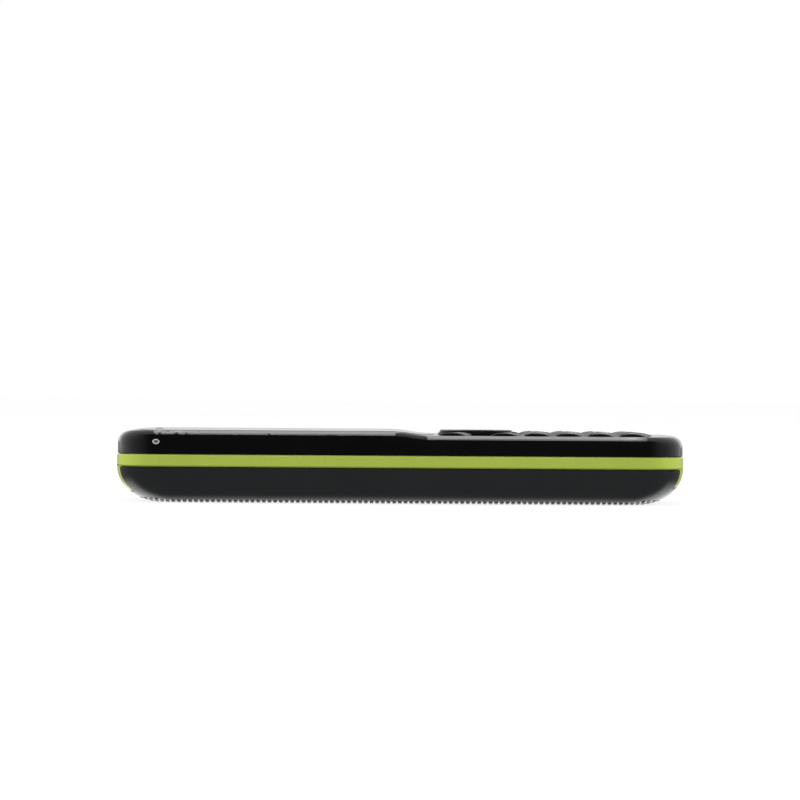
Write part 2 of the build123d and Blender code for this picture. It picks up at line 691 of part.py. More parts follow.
def make_back_cover():
    """The battery cover: a full-length tray with rounded ends, notched for the panels."""
    cover = lower_shell()
    above = block(
        grown((TOP_END, BOTTOM_END), OVERSHOOT),
        grown(around(0, BODY_WIDTH), OVERSHOOT),
        (BAND_BOTTOM - SEAM_GAP, BAND_TOP),
    )
    cover -= above
    for notch in panel_blocks(SEAM_GAP):
        cover -= notch
    for step in range(SOUND_SLOTS):
        y = SPEAKER_Y + (step - (SOUND_SLOTS - 1) / 2) * SOUND_SLOT_PITCH
        face = Pos(SPEAKER_X, y) * SlotOverall(SOUND_SLOT_LENGTH, SOUND_SLOT_WIDTH)
        cover -= slab(face, (-OVERSHOOT, COVER_WALL + OVERSHOOT))
    for x, side in tab_places():
        cover += tab_block(x, side, 0)
    return cover


def frame_tray():
    """The band with the tray inside it that carries the board and its floor."""
    band = slab(outline(0, 0, CORNER_RADIUS), (BAND_BOTTOM, BAND_TOP))
    rims = band.edges().group_by(Axis.Z)
    band = chamfer(rims[0] + rims[-1], BAND_CHAMFER)
    tray = band + slab(inner_outline(TRAY_INSET), (FLOOR_BOTTOM, BAND_TOP + LIP_HEIGHT))
    lip = slab(inner_outline(SEAM_INSET + FRONT_WALL + FIT_GAP), (BAND_TOP, BAND_TOP + LIP_HEIGHT))
    ring = slab(inner_outline(TRAY_INSET), (BAND_TOP, BAND_TOP + LIP_HEIGHT)) - lip
    tray -= ring
    return tray - slab(inner_outline(TRAY_INSET + TRAY_WALL), (FLOOR_TOP, DISPLAY_DECK))


def battery_bay():
    """The wall that stands round the battery under the tray's floor."""
    gap = BATTERY_CLEARANCE
    outer_x = grown(BATTERY_X, gap + BAY_WALL)
    outer_y = grown(BATTERY_Y, gap + BAY_WALL)
    bottom = BATTERY_BOTTOM + gap
    wall = rounded_slab(outer_x, outer_y, (bottom, FLOOR_BOTTOM), BATTERY_CORNER)
    return wall - block(grown(BATTERY_X, gap), grown(BATTERY_Y, gap), (bottom, FLOOR_BOTTOM))


def make_mid_frame():
    """The green frame: band, tray, end panels, battery bay, posts and cradles."""
    frame = frame_tray() + battery_bay()
    shell = lower_shell()
    for panel in panel_blocks(0):
        frame += shell & panel
    ring_z = (FLOOR_BOTTOM - SPEAKER_RING_HEIGHT, FLOOR_BOTTOM)
    ring = disc(SPEAKER_X, SPEAKER_Y, SPEAKER_RADIUS + SPEAKER_RING, ring_z)
    frame += ring - disc(SPEAKER_X, SPEAKER_Y, SPEAKER_RADIUS + FIT_GAP, ring_z)
    cradle_x = around(MOTOR_X, 2 * MOTOR_RADIUS + 2 * BAY_WALL)
    cradle_y = around(MOTOR_Y, MOTOR_LENGTH - BAY_WALL)
    frame += block(cradle_x, cradle_y, (MOTOR_Z, FLOOR_BOTTOM))
    frame -= cylinder_along_y(MOTOR_X, MOTOR_Z, MOTOR_RADIUS + MAT_GAP, grown(cradle_y, OVERSHOOT))
    for x, y in SCREWS:
        frame += disc(x, y, BOSS_RADIUS, (FLOOR_TOP, BOARD_BOTTOM - MAT_GAP))
        frame -= disc(x, y, SCREW_RADIUS + SCREW_CLEARANCE, (0, BAND_TOP))
    card_y = around(0, CARD_WIDTH + 2 * (RAIL_WIDTH + FIT_GAP))
    card_x = (CARD_END - CARD_LENGTH - CARD_SLIDE, CARD_END + FIT_GAP)
    frame -= block(grown(card_x, FIT_GAP), grown(card_y, FIT_GAP), (FLOOR_BOTTOM - OVERSHOOT, FLOOR_TOP))
    jack_y = grown(around(JACK_Y, JACK_WIDTH), FIT_GAP)
    jack_z = (JACK_Z - JACK_NOSE_RADIUS - FIT_GAP, BAND_TOP + MAT_GAP)
    frame -= block(grown(JACK_X, FIT_GAP), jack_y, jack_z)
    nose_x = (TOP_END - OVERSHOOT, JACK_X[0])
    frame -= cylinder_along_x(JACK_Y, JACK_Z, JACK_NOSE_RADIUS + FIT_GAP, nose_x)
    socket_y = grown(around(SOCKET_Y, SOCKET_WIDTH), FIT_GAP)
    frame -= block(grown(SOCKET_X, FIT_GAP), socket_y, grown(SOCKET_Z, FIT_GAP))
    mouth = around(SOCKET_Y, SOCKET_WIDTH - 2 * SOCKET_WALL)
    mouth_z = grown(SOCKET_Z, -SOCKET_WALL)
    frame -= block((SOCKET_X[0], BOTTOM_END + OVERSHOOT), mouth, mouth_z)
    contact_x = (BATTERY_X[1], BATTERY_X[1] + CONTACT_BLOCK_DEPTH + 2 * BATTERY_CLEARANCE + FIT_GAP)
    contact_y = around(0, CONTACT_BLOCK_WIDTH + 2 * FIT_GAP)
    frame -= block(contact_x, contact_y, (0, FLOOR_TOP))
    for x, side in tab_places():
        frame -= tab_block(x, side, FIT_GAP)
    return frame


def make_battery():
    """The flat battery with rounded edges and pockets for its terminals."""
    pack = block(BATTERY_X, BATTERY_Y, (BATTERY_BOTTOM, BATTERY_TOP))
    pack = fillet(pack.edges().filter_by(Axis.Y), BATTERY_CORNER / 2)
    for y in terminal_places():
        pack -= terminal(y)
    return pack


def terminal_places():
    """The middles of the three terminals, across the phone."""
    return [step * TERMINAL_PITCH for step in (-1, 0, 1)]


def terminal(y):
    """One flat terminal in the battery's end face."""
    middle = (BATTERY_BOTTOM + BATTERY_TOP) / 2
    x_range = (BATTERY_X[1] - TERMINAL_DEPTH, BATTERY_X[1])
    return block(x_range, around(y, TERMINAL_WIDTH), around(middle, TERMINAL_HEIGHT))


def make_battery_contacts():
    """The block that carries three sprung blades against the terminals."""
    start = BATTERY_X[1] + 2 * BATTERY_CLEARANCE
    x_range = (start, start + CONTACT_BLOCK_DEPTH)
    body = block(x_range, around(0, CONTACT_BLOCK_WIDTH), (BATTERY_BOTTOM, BOARD_BOTTOM - MAT_GAP))
    middle = (BATTERY_BOTTOM + BATTERY_TOP) / 2
    for y in terminal_places():
        blade = cylinder_along_y(
            start,
            middle,
            2 * BATTERY_CLEARANCE - MAT_GAP,
            around(y, TERMINAL_WIDTH / 2),
        )
        body += blade
    return body


def make_card():
    """The card: thin, rounded, with one corner cut off to show which way it goes."""
    x_range = (CARD_END - CARD_LENGTH, CARD_END)
    card = rounded_slab(x_range, around(0, CARD_WIDTH), (CARD_BOTTOM, CARD_TOP), CARD_CORNER)
    side = CARD_KEY_CUT * math.sqrt(2)
    corner = Pos(CARD_END, CARD_WIDTH / 2) * Rot(0, 0, 45) * Rectangle(side, side)
    return card - slab(corner, (0, FLOOR_TOP))


def make_card_holder():
    """The metal holder: a plate over the card with a lip down each long side."""
    x_range = (CARD_END - CARD_LENGTH / 2, CARD_END)
    half = CARD_WIDTH / 2 + FIT_GAP
    top = (FLOOR_TOP, BOARD_BOTTOM - MAT_GAP)
    holder = block(x_range, (-half - RAIL_WIDTH, half + RAIL_WIDTH), top)
    lip_z = (CARD_BOTTOM - MAT_GAP - RAIL_THICKNESS, CARD_BOTTOM - MAT_GAP)
    for side in (-1, 1):
        rail_y = sorted((side * half, side * (half + RAIL_WIDTH)))
        holder += block(x_range, rail_y, (lip_z[0], FLOOR_TOP))
        lip_y = sorted((side * (half - RAIL_GRIP), side * (half + RAIL_WIDTH)))
        holder += block(x_range, lip_y, lip_z)
    return holder


def make_main_board():
    """The circuit board, drilled for the screws."""
    board = slab(inner_outline(BOARD_INSET), (BOARD_BOTTOM, BOARD_TOP))
    for x, y in SCREWS:
        board -= disc(x, y, SCREW_RADIUS + SCREW_CLEARANCE, (0, DISPLAY_DECK))
    return board


def shield(x_range, y_range):
    """A folded metal can over the radio parts, open towards the board."""
    can = rounded_slab(x_range, y_range, (FLOOR_TOP + 2 * MAT_GAP, BOARD_BOTTOM), KEY_CORNER)
    inner = (grown(x_range, -RAIL_THICKNESS), grown(y_range, -RAIL_THICKNESS))
    return can - block(*inner, (FLOOR_TOP + 2 * MAT_GAP + RAIL_THICKNESS, BOARD_BOTTOM))


def mat_face(inset):
    """The plan that the key mat and the dome film share."""
    start = CEILING_CHANGE - inset
    end = BOTTOM_END - LAST_ROW_FROM_END + KEY_LENGTH / 2 - KEY_OVERHANG
    width = 2 * (KEYPAD_HALF - inset)
    return Pos((start + end) / 2) * RectangleRounded(end - start, width, KEY_CORNER)


def dome_places():
    """The middle of each switch: one under every key and four under the pad."""
    places = [key_middle(row_x, y_range) for _, row_x, y_range in key_places()]
    reach_x = NAV_LENGTH / 2 - PLUNGER_RADIUS
    reach_y = NAV_WIDTH / 2 - PLUNGER_RADIUS
    places.append((NAV_X, 0))
    for x, y in ((-reach_x, 0), (reach_x, 0), (0, -reach_y), (0, reach_y)):
        places.append((NAV_X + x, y))
    return places


def make_key_mat():
    """The rubber mat between the keys and the switches."""
    return slab(mat_face(0), (MAT_BOTTOM, MAT_TOP))


def make_dome_sheet():
    """The film with a pressed metal dome for each switch."""
    sheet = slab(mat_face(MAT_THICKNESS), (BOARD_TOP, BOARD_TOP + DOME_FILM))
    dome = Cone(DOME_RADIUS, DOME_RADIUS / 2, DOME_HEIGHT)
    for x, y in dome_places():
        sheet += Pos(x, y, DOME_TOP - DOME_HEIGHT / 2) * dome
    return sheet


def make_microphone():
    """The microphone capsule on the board."""
    return disc(MIC_X, MIC_Y, MIC_RADIUS, (BOARD_TOP, BOARD_TOP + MIC_HEIGHT))


def make_microphone_boot():
    """The rubber ring that seals the capsule to its hole."""
    z_range = (BOARD_TOP + MIC_HEIGHT, KEY_CEILING)
    outer = disc(MIC_X, MIC_Y, MIC_RADIUS, z_range)
    return outer - disc(MIC_X, MIC_Y, MIC_HOLE_RADIUS, z_range)


def make_audio_jack():
    """The headset jack: a block with a round nose and a blind bore."""
    body = block(
        JACK_X,
        around(JACK_Y, JACK_WIDTH),
        (JACK_Z - JACK_NOSE_RADIUS, BOARD_BOTTOM - MAT_GAP),
    )
    nose = (JACK_X[0] - JACK_NOSE_LENGTH, JACK_X[0])
    flush = slab(outline(0, 0, CORNER_RADIUS), (BAND_BOTTOM, BAND_TOP)) + lower_form(0)
    body += cylinder_along_x(JACK_Y, JACK_Z, JACK_NOSE_RADIUS, nose) & flush
    bore = (nose[0] - OVERSHOOT, JACK_X[1] - OVERSHOOT)
    return body - cylinder_along_x(JACK_Y, JACK_Z, JACK_RADIUS, bore)


def make_charging_socket():
    """The charging socket: a thin metal shell with a contact tongue."""
    y_range = around(SOCKET_Y, SOCKET_WIDTH)
    shell = block(SOCKET_X, y_range, SOCKET_Z)
    hollow_x = (SOCKET_X[0] + SOCKET_WALL, SOCKET_X[1])
    shell -= block(hollow_x, grown(y_range, -SOCKET_WALL), grown(SOCKET_Z, -SOCKET_WALL))
    tongue_z = around(sum(SOCKET_Z) / 2, TONGUE_THICKNESS)
    tongue_x = (SOCKET_X[0], SOCKET_X[1] - OVERSHOOT)
    return shell + block(tongue_x, around(SOCKET_Y, TONGUE_WIDTH), tongue_z)


def make_loudspeaker():
    """The loudspeaker: a round basket with a shallow cone."""
    z_range = (SPEAKER_TOP - SPEAKER_HEIGHT, SPEAKER_TOP)
    basket = disc(SPEAKER_X, SPEAKER_Y, SPEAKER_RADIUS, z_range)
    dish = Cone(SPEAKER_RADIUS - CONE_RIM, CONE_MIDDLE_RADIUS, CONE_DEPTH)
    return basket - Pos(SPEAKER_X, SPEAKER_Y, z_range[0] + CONE_DEPTH / 2) * dish


def make_speaker_gasket():
    """The foam ring between the loudspeaker and the cover's slots."""
    z_range = (COVER_WALL + BATTERY_CLEARANCE, SPEAKER_TOP - SPEAKER_HEIGHT)
    outer = disc(SPEAKER_X, SPEAKER_Y, SPEAKER_GASKET_RADIUS, z_range)
    hole = disc(SPEAKER_X, SPEAKER_Y, SPEAKER_GASKET_RADIUS - SPEAKER_GASKET_WALL, z_range)
    return outer - hole


def make_vibration_motor():
    """The vibration motor with its shaft."""
    y_range = around(MOTOR_Y, MOTOR_LENGTH)
    shaft = (y_range[0] - WEIGHT_GAP - WEIGHT_LENGTH, y_range[0])
    can = cylinder_along_y(MOTOR_X, MOTOR_Z, MOTOR_RADIUS, y_range)
    return can + cylinder_along_y(MOTOR_X, MOTOR_Z, MOTOR_SHAFT, shaft)


def make_vibration_weight():
    """The half-round weight on the motor's shaft."""
    end = MOTOR_Y - MOTOR_LENGTH / 2 - WEIGHT_GAP
    y_range = (end - WEIGHT_LENGTH, end)
    hub = cylinder_along_y(MOTOR_X, MOTOR_Z, MOTOR_RADIUS - WEIGHT_SHRINK, y_range)
    below = block(around(MOTOR_X, 2 * MOTOR_RADIUS), y_range, (MOTOR_Z - MOTOR_RADIUS, MOTOR_Z))
    collar = cylinder_along_y(MOTOR_X, MOTOR_Z, 2 * MOTOR_SHAFT, y_range)
    weight = (hub & below) + collar
    return weight - cylinder_along_y(MOTOR_X, MOTOR_Z, MOTOR_SHAFT + MAT_GAP, grown(y_range, OVERSHOOT))


ANTENNA_TOP = FLOOR_BOTTOM - MAT_GAP
ANTENNA_BOTTOM = ANTENNA_TOP - ANTENNA_HEIGHT


def make_antenna_carrier():
    """The plastic carrier of the antenna, hollowed from above."""
    y_range = around(0, ANTENNA_WIDTH)
    carrier = rounded_slab(ANTENNA_X, y_range, (ANTENNA_BOTTOM, ANTENNA_TOP), BATTERY_CORNER)
    inner = (grown(ANTENNA_X, -BAY_WALL), grown(y_range, -BAY_WALL))
    return carrier - block(*inner, (ANTENNA_BOTTOM + BAY_WALL, ANTENNA_TOP))


def make_antenna_strip():
    """The metal track of the antenna on the carrier's lower face."""
    z_range = (ANTENNA_BOTTOM - STRIP_THICKNESS, ANTENNA_BOTTOM)
    y_range = grown(around(0, ANTENNA_WIDTH), -BAY_WALL)
    x_range = grown(ANTENNA_X, -BAY_WALL)
    strip = block((x_range[1] - STRIP_WIDTH, x_range[1]), y_range, z_range)
    for side in (-1, 1):
        arm_y = sorted((side * y_range[1], side * (y_range[1] - STRIP_WIDTH)))
        strip += block(x_range, arm_y, z_range)
    return strip


def make_housing_screws():
    """The four screws that hold the frame, board and front housing together."""
    screws = []
    for x, y in SCREWS:
        ceiling = DISPLAY_CEILING if x < 0 else KEY_CEILING
        head = disc(x, y, SCREW_HEAD_RADIUS, (FLOOR_BOTTOM - SCREW_HEAD_HEIGHT, FLOOR_BOTTOM))
        shank = disc(x, y, SCREW_RADIUS - MAT_GAP / 2, (FLOOR_BOTTOM, ceiling - OVERSHOOT / 2))
        screws.append(head + shank)
    return Compound(children=screws)


def make_terminals():
    """The three flat terminals in the battery's end."""
    return Compound(children=[terminal(y) for y in terminal_places()])


HOLDER_START = CARD_END - CARD_LENGTH / 2

nodes = {
    "front_housing": make_front_housing(),
    "display_window": make_display_window(),
    "display_tray": make_display_module(),
    "display_glass": make_display_glass(),
    "display_gasket": make_display_gasket(),
    "earpiece_grille": make_earpiece_grille(),
    "earpiece_receiver": make_earpiece_receiver(),
    "strap_eyelet": make_strap_eyelet(),
    "mid_frame": make_mid_frame(),
    "back_cover": make_back_cover(),
    "battery_pack": make_battery(),
    "battery_terminals": make_terminals(),
    "battery_contacts": make_battery_contacts(),
    "sim_card": make_card(),
    "sim_holder": make_card_holder(),
    "main_board": make_main_board(),
    "shield_can_radio": shield(
        (JACK_X[1] + CAN_GAP, HOLDER_START - CAN_GAP),
        around(0, BATTERY_WIDTH - CAN_GAP),
    ),
    "shield_can_power": shield(
        (BATTERY_X[1] + 4 * CAN_GAP + CONTACT_BLOCK_DEPTH, SOCKET_X[0] - 2 * CAN_GAP),
        around(0, BATTERY_WIDTH - 4 * CAN_GAP),
    ),
    "key_mat": make_key_mat(),
    "dome_sheet": make_dome_sheet(),
    "nav_ring": make_nav_ring(),
    "nav_base": make_nav_base(),
    "select_key": make_select_key(),
    "microphone": make_microphone(),
    "microphone_boot": make_microphone_boot(),
    "audio_jack": make_audio_jack(),
    "charging_socket": make_charging_socket(),
    "loudspeaker": make_loudspeaker(),
    "speaker_gasket": make_speaker_gasket(),
    "vibration_motor": make_vibration_motor(),
    "vibration_weight": make_vibration_weight(),
    "antenna_carrier": make_antenna_carrier(),
    "antenna_strip": make_antenna_strip(),
    "housing_screws": make_housing_screws(),
}
for key_name, key_row, key_range in key_places():
    nodes[key_name] = make_key(key_row, key_range)

for name, solid in nodes.items():
    export_step(solid, f"parts/{name}.step")
    print(name, len(solid.solids()), round(solid.volume, 2))
print("pad middle", NAV_X, "pivots", NAV_BASE_TOP, NAV_BASE_BOTTOM, "deck", KEYPAD_DECK)
print("motor axis", MOTOR_X, MOTOR_Z, "weight end", MOTOR_Y - MOTOR_LENGTH / 2 - WEIGHT_GAP)
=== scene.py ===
# %% [markdown]
# # A bar phone with a lime frame and a dotted slate back
#
# The phone lies on its back. The camera looks level at its long left side, so the picture
# shows four layers: a gloss black front shell, a lime band, a slate battery cover and the
# small pads under it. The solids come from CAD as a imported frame. This lesson gives them
# their finishes, makes the cover again with its pads, prints the keys and lights the set.

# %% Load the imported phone
import math

import bmesh
import bpy
from mathutils import Matrix, Vector


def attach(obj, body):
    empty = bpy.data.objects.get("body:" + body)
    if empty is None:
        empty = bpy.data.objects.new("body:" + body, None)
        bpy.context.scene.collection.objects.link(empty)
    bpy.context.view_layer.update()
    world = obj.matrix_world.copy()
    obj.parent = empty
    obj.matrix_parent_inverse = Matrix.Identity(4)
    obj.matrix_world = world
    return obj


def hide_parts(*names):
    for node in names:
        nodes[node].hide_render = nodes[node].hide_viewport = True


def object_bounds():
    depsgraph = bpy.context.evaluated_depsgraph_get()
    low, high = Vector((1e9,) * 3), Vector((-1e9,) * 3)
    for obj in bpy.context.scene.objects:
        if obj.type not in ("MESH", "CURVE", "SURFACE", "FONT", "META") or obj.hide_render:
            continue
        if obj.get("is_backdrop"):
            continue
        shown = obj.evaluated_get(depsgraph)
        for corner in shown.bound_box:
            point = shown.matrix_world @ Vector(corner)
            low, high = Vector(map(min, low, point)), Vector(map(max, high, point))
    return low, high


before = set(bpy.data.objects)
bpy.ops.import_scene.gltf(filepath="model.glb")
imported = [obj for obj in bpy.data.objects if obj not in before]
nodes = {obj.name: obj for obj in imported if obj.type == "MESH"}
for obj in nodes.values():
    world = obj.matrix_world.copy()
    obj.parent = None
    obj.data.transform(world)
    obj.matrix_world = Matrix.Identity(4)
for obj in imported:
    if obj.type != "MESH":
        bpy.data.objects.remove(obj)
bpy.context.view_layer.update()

# %% [markdown]
# ## Units and small helpers
#
# Blender works in metres and a phone is drawn in millimetres, so sizes below are written in
# millimetres and turned into metres at the last moment. Short helpers make a mesh object
# from points and faces, smooth it while its real edges stay sharp, and give the points of
# an arc and the faces between rings of points.

# %% Helpers for meshes
MM = 0.001


def in_metres(points):
    """Points given in millimetres, in metres."""
    return [(x * MM, y * MM, z * MM) for x, y, z in points]


def make_piece(name, points, faces, material, sharp_angle=35):
    """A mesh object from points in millimetres, smooth except at its real edges."""
    mesh = bpy.data.meshes.new(name)
    mesh.from_pydata(in_metres(points), [], faces)
    mesh.validate()
    piece = bpy.data.objects.new(name, mesh)
    bpy.context.scene.collection.objects.link(piece)
    mesh.materials.append(material)
    smooth_but_crisp(mesh, sharp_angle)
    return piece


def smooth_but_crisp(mesh, sharp_angle):
    """Smooth shading, with edges sharper than the angle left crisp."""
    mesh.polygons.foreach_set("use_smooth", [True] * len(mesh.polygons))
    mesh.set_sharp_from_angle(angle=math.radians(sharp_angle))


def arc(middle, radius, first, last, steps):
    """Points on an arc between two angles, both ends included."""
    x, y = middle
    angles = [first + (last - first) * step / steps for step in range(steps + 1)]
    return [(x + radius * math.cos(angle), y + radius * math.sin(angle)) for angle in angles]


def side_faces(rows, count):
    """Four-sided faces that join neighbouring rings of points, ring after ring."""
    faces = []
    for low in range(0, rows * count, count):
        high = low + count
        for index in range(count):
            nearby = (index + 1) % count
            faces.append((low + index, low + nearby, high + nearby, high + index))
    return faces


# %% [markdown]
# ## Effects that several finishes share
#
# Moulded plastic is never quite even: the tool leaves a fine grain, and hands leave marks
# that change how sharply it reflects. These effects could be painted as images. They are
# made as node groups instead, because a group is sharp at any distance, needs no unwrapping
# and can be placed in every material with its own values. A few helpers keep the wiring
# short: each takes a plain value or a socket in the same place.

# %% Helpers for node trees
def put(tree, socket, value):
    """Links the socket to another one, or sets it to a plain value."""
    if isinstance(value, bpy.types.NodeSocket):
        tree.links.new(value, socket)
    else:
        socket.default_value = value


def fill(tree, node, **values):
    """Puts a value or a link on each named input of a node."""
    for label, value in values.items():
        put(tree, node.inputs[label.replace("_", " ")], value)
    return node


def add_node(tree, kind, **values):
    """A new shader node with its inputs filled."""
    return fill(tree, tree.nodes.new("ShaderNode" + kind), **values)


def own_place(tree):
    """Coordinates that stay with the piece."""
    return add_node(tree, "TexCoord").outputs["Object"]


def add_math(tree, operation, first, second=0.0):
    """One step of arithmetic."""
    node = tree.nodes.new("ShaderNodeMath")
    node.operation = operation
    put(tree, node.inputs[0], first)
    put(tree, node.inputs[1], second)
    return node.outputs["Value"]


def add_mix(tree, factor, first, second):
    """A number between two others."""
    node = tree.nodes.new("ShaderNodeMix")
    node.data_type = "FLOAT"
    return fill(tree, node, Factor=factor, A=first, B=second).outputs["Result"]


def add_ramp(tree, source, low, high):
    """A soft threshold: 0 below low, 1 above high."""
    node = tree.nodes.new("ShaderNodeMapRange")
    node.interpolation_type = "SMOOTHSTEP"
    return fill(tree, node, Value=source, From_Min=low, From_Max=high).outputs["Result"]


def add_noise(tree, where, scale, detail=2.0, roughness=0.5):
    """The height of a noise texture."""
    noise = add_node(
        tree, "TexNoise", Vector=where, Scale=scale, Detail=detail, Roughness=roughness
    )
    return noise.outputs["Fac"]


def mix_shaders(tree, factor, first, second):
    """One shader where the factor is 0, the other where it is 1."""
    node = add_node(tree, "MixShader", Fac=factor)
    put(tree, node.inputs[1], first)
    put(tree, node.inputs[2], second)
    return node.outputs["Shader"]


def start_group(name, output, **inputs):
    """A group with named inputs and one output: its tree, both ends and coordinates."""
    group = bpy.data.node_groups.new(name, "ShaderNodeTree")
    for label, value in inputs.items():
        kind = "NodeSocketFloat" if isinstance(value, float) else "NodeSocketColor"
        label = label.replace("_", " ")
        socket = group.interface.new_socket(label, in_out="INPUT", socket_type=kind)
        socket.default_value = value
    kind = "NodeSocketColor" if output == "Color" else "NodeSocketFloat"
    group.interface.new_socket(output, in_out="OUTPUT", socket_type=kind)
    entry = group.nodes.new("NodeGroupInput")
    leave = group.nodes.new("NodeGroupOutput")
    return group, entry.outputs, leave, own_place(group)


# %% [markdown]
# ### Moulded grain
#
# Spark-eroded tools give plastic a grain of about a fifth of a millimetre. A noise at that
# scale with a coarser one mixed in is the cheapest good likeness. Its height goes to a Bump
# node in each material.

# %% Group: moulded grain
COARSE_SCALE = 0.27
COARSE_SHARE = 0.3

grain_group, entry, leave, where = start_group("moulded grain", "Height", Scale=5000.0)
fine = add_noise(grain_group, where, entry["Scale"])
coarse_scale = add_math(grain_group, "MULTIPLY", entry["Scale"], COARSE_SCALE)
coarse = add_noise(grain_group, where, coarse_scale)
fill(grain_group, leave, Height=add_mix(grain_group, COARSE_SHARE, fine, coarse))

# %% [markdown]
# ### Handling marks
#
# Clean gloss has one sharpness all over. A handled phone has faint cloudy patches where
# fingers were. A large noise is cut by a threshold into patches, and the roughness goes
# from the clean value to the marked one inside them.

# %% Group: handling marks
PATCH_EDGE = (0.42, 0.68)

marks_group, entry, leave, where = start_group(
    "handling marks",
    "Roughness",
    Clean_Roughness=0.08,
    Marked_Roughness=0.16,
    Patch_Scale=90.0,
)
cloud = add_noise(marks_group, where, entry["Patch Scale"], detail=4.0, roughness=0.6)
patches = add_ramp(marks_group, cloud, *PATCH_EDGE)
rough = add_mix(marks_group, patches, entry["Clean Roughness"], entry["Marked Roughness"])
fill(marks_group, leave, Roughness=rough)

# %% [markdown]
# ### Colour drift
#
# Two near shades of the same colour, mixed by a noise with fine detail, keep paint and
# plastic from looking like a filled shape.

# %% Group: colour drift
SHADE_EDGE = (0.3, 0.7)

drift_group, entry, leave, where = start_group(
    "colour drift",
    "Color",
    Shade_A=(0.5, 0.5, 0.5, 1),
    Shade_B=(0.4, 0.4, 0.4, 1),
    Scale=60.0,
)
slow = add_noise(drift_group, where, entry["Scale"], detail=5.0, roughness=0.65)
shades = drift_group.nodes.new("ShaderNodeMix")
shades.data_type = "RGBA"
fill(drift_group, shades, Factor=add_ramp(drift_group, slow, *SHADE_EDGE))
put(drift_group, shades.inputs[6], entry["Shade A"])
put(drift_group, shades.inputs[7], entry["Shade B"])
fill(drift_group, leave, Color=shades.outputs[2])

# %% [markdown]
# ### Drawn lines
#
# Rolled or brushed metal has fine lines along one direction. The coordinates are squeezed
# along that direction before the noise is read, which stretches its spots into lines.

# %% Group: drawn lines
LINE_SQUEEZE = (0.02, 1.0, 1.0)

lines_group, entry, leave, where = start_group("drawn lines", "Height", Line_Density=9000.0)
squeezed = add_node(lines_group, "Mapping", Vector=where, Scale=LINE_SQUEEZE).outputs["Vector"]
strokes = add_noise(lines_group, squeezed, entry["Line Density"], detail=3.0)
fill(lines_group, leave, Height=strokes)
print("shared effects:", [group.name for group in bpy.data.node_groups])

# %% [markdown]
# ## The finishes
#
# Each material is one Principled shader. Numbers that are the same all over are set on the
# shader's own sockets, and only what changes over the surface is linked. A small builder
# does the wiring that every finish needs.

# %% A builder for finishes
def start_finish(name, **sockets):
    """A material with one Principled shader and plain values on its sockets."""
    material = bpy.data.materials.new(name)
    material.use_nodes = True
    tree = material.node_tree
    return material, tree, fill(tree, tree.nodes["Principled BSDF"], **sockets)


def place_group(tree, group, **values):
    """What the group gives in this material, with its own values."""
    node = tree.nodes.new("ShaderNodeGroup")
    node.node_tree = group
    return fill(tree, node, **values).outputs[0]


def add_colour(tree, shader, shades, scale):
    """A base colour that drifts between two near shades."""
    first, second = [(*shade, 1) for shade in shades]
    drift = place_group(tree, drift_group, Shade_A=first, Shade_B=second, Scale=scale)
    fill(tree, shader, Base_Color=drift)


def add_gloss(tree, shader, rough, scale):
    """A roughness that goes from clean to marked in patches."""
    clean, marked = rough
    marks = place_group(
        tree, marks_group, Clean_Roughness=clean, Marked_Roughness=marked, Patch_Scale=scale
    )
    fill(tree, shader, Roughness=marks)


def add_bump(tree, shader, height, depth_mm):
    """The height as a bump of a real depth."""
    bump = add_node(tree, "Bump", Distance=depth_mm * MM, Height=height)
    fill(tree, shader, Normal=bump.outputs["Normal"])


def make_plastic(name, shades, rough, grain, drift_scale=60.0, patch_scale=90.0, **sockets):
    """Moulded plastic: two near shades, clean and marked gloss, and a grain (scale, depth)."""
    material, tree, shader = start_finish(name, **sockets)
    add_colour(tree, shader, shades, drift_scale)
    add_gloss(tree, shader, rough, patch_scale)
    add_bump(tree, shader, place_group(tree, grain_group, Scale=grain[0]), grain[1])
    return material


# %% [markdown]
# ### Outer plastics
#
# The front shell is polished black: nearly all that is seen of it is reflection. The lime
# frame is a satin moulding with its colour right through. The cover carries a satin slate
# paint with a fine grain, which blurs reflections into a soft gradient. The keys are as
# black as the shell but satin, because thumbs rub them.

# %% Shell, frame, cover and key finishes
finishes = {}
finishes["gloss_black"] = make_plastic(
    "polished black shell",
    ((0.0022, 0.0022, 0.0025), (0.0034, 0.0034, 0.0037)),
    (0.04, 0.07),
    grain=(500.0, 0.0003),
    drift_scale=45.0,
    IOR=1.5,
)
finishes["key_black"] = make_plastic(
    "satin black keys",
    ((0.0024, 0.0024, 0.0027), (0.0042, 0.0042, 0.0045)),
    (0.33, 0.42),
    grain=(1500.0, 0.0015),
    drift_scale=200.0,
    patch_scale=260.0,
    IOR=1.40,
)
finishes["lime_green"] = make_plastic(
    "satin lime frame",
    ((0.490, 0.612, 0.088), (0.465, 0.585, 0.080)),
    (0.26, 0.34),
    grain=(5200.0, 0.003),
    drift_scale=110.0,
    IOR=1.46,
)
finishes["slate_cover"] = make_plastic(
    "satin slate cover",
    ((0.0125, 0.0140, 0.0150), (0.0155, 0.0172, 0.0182)),
    (0.26, 0.33),
    grain=(6500.0, 0.004),
    drift_scale=70.0,
    IOR=1.45,
)
print("outer finishes:", [finishes[slot].name for slot in finishes])

# %% [markdown]
# ### Inner plastics, rubber and foam
#
# None of these is seen until the phone is taken apart, but each has its own look: matt
# black inserts, natural white supports, soft grey rubber and foam.

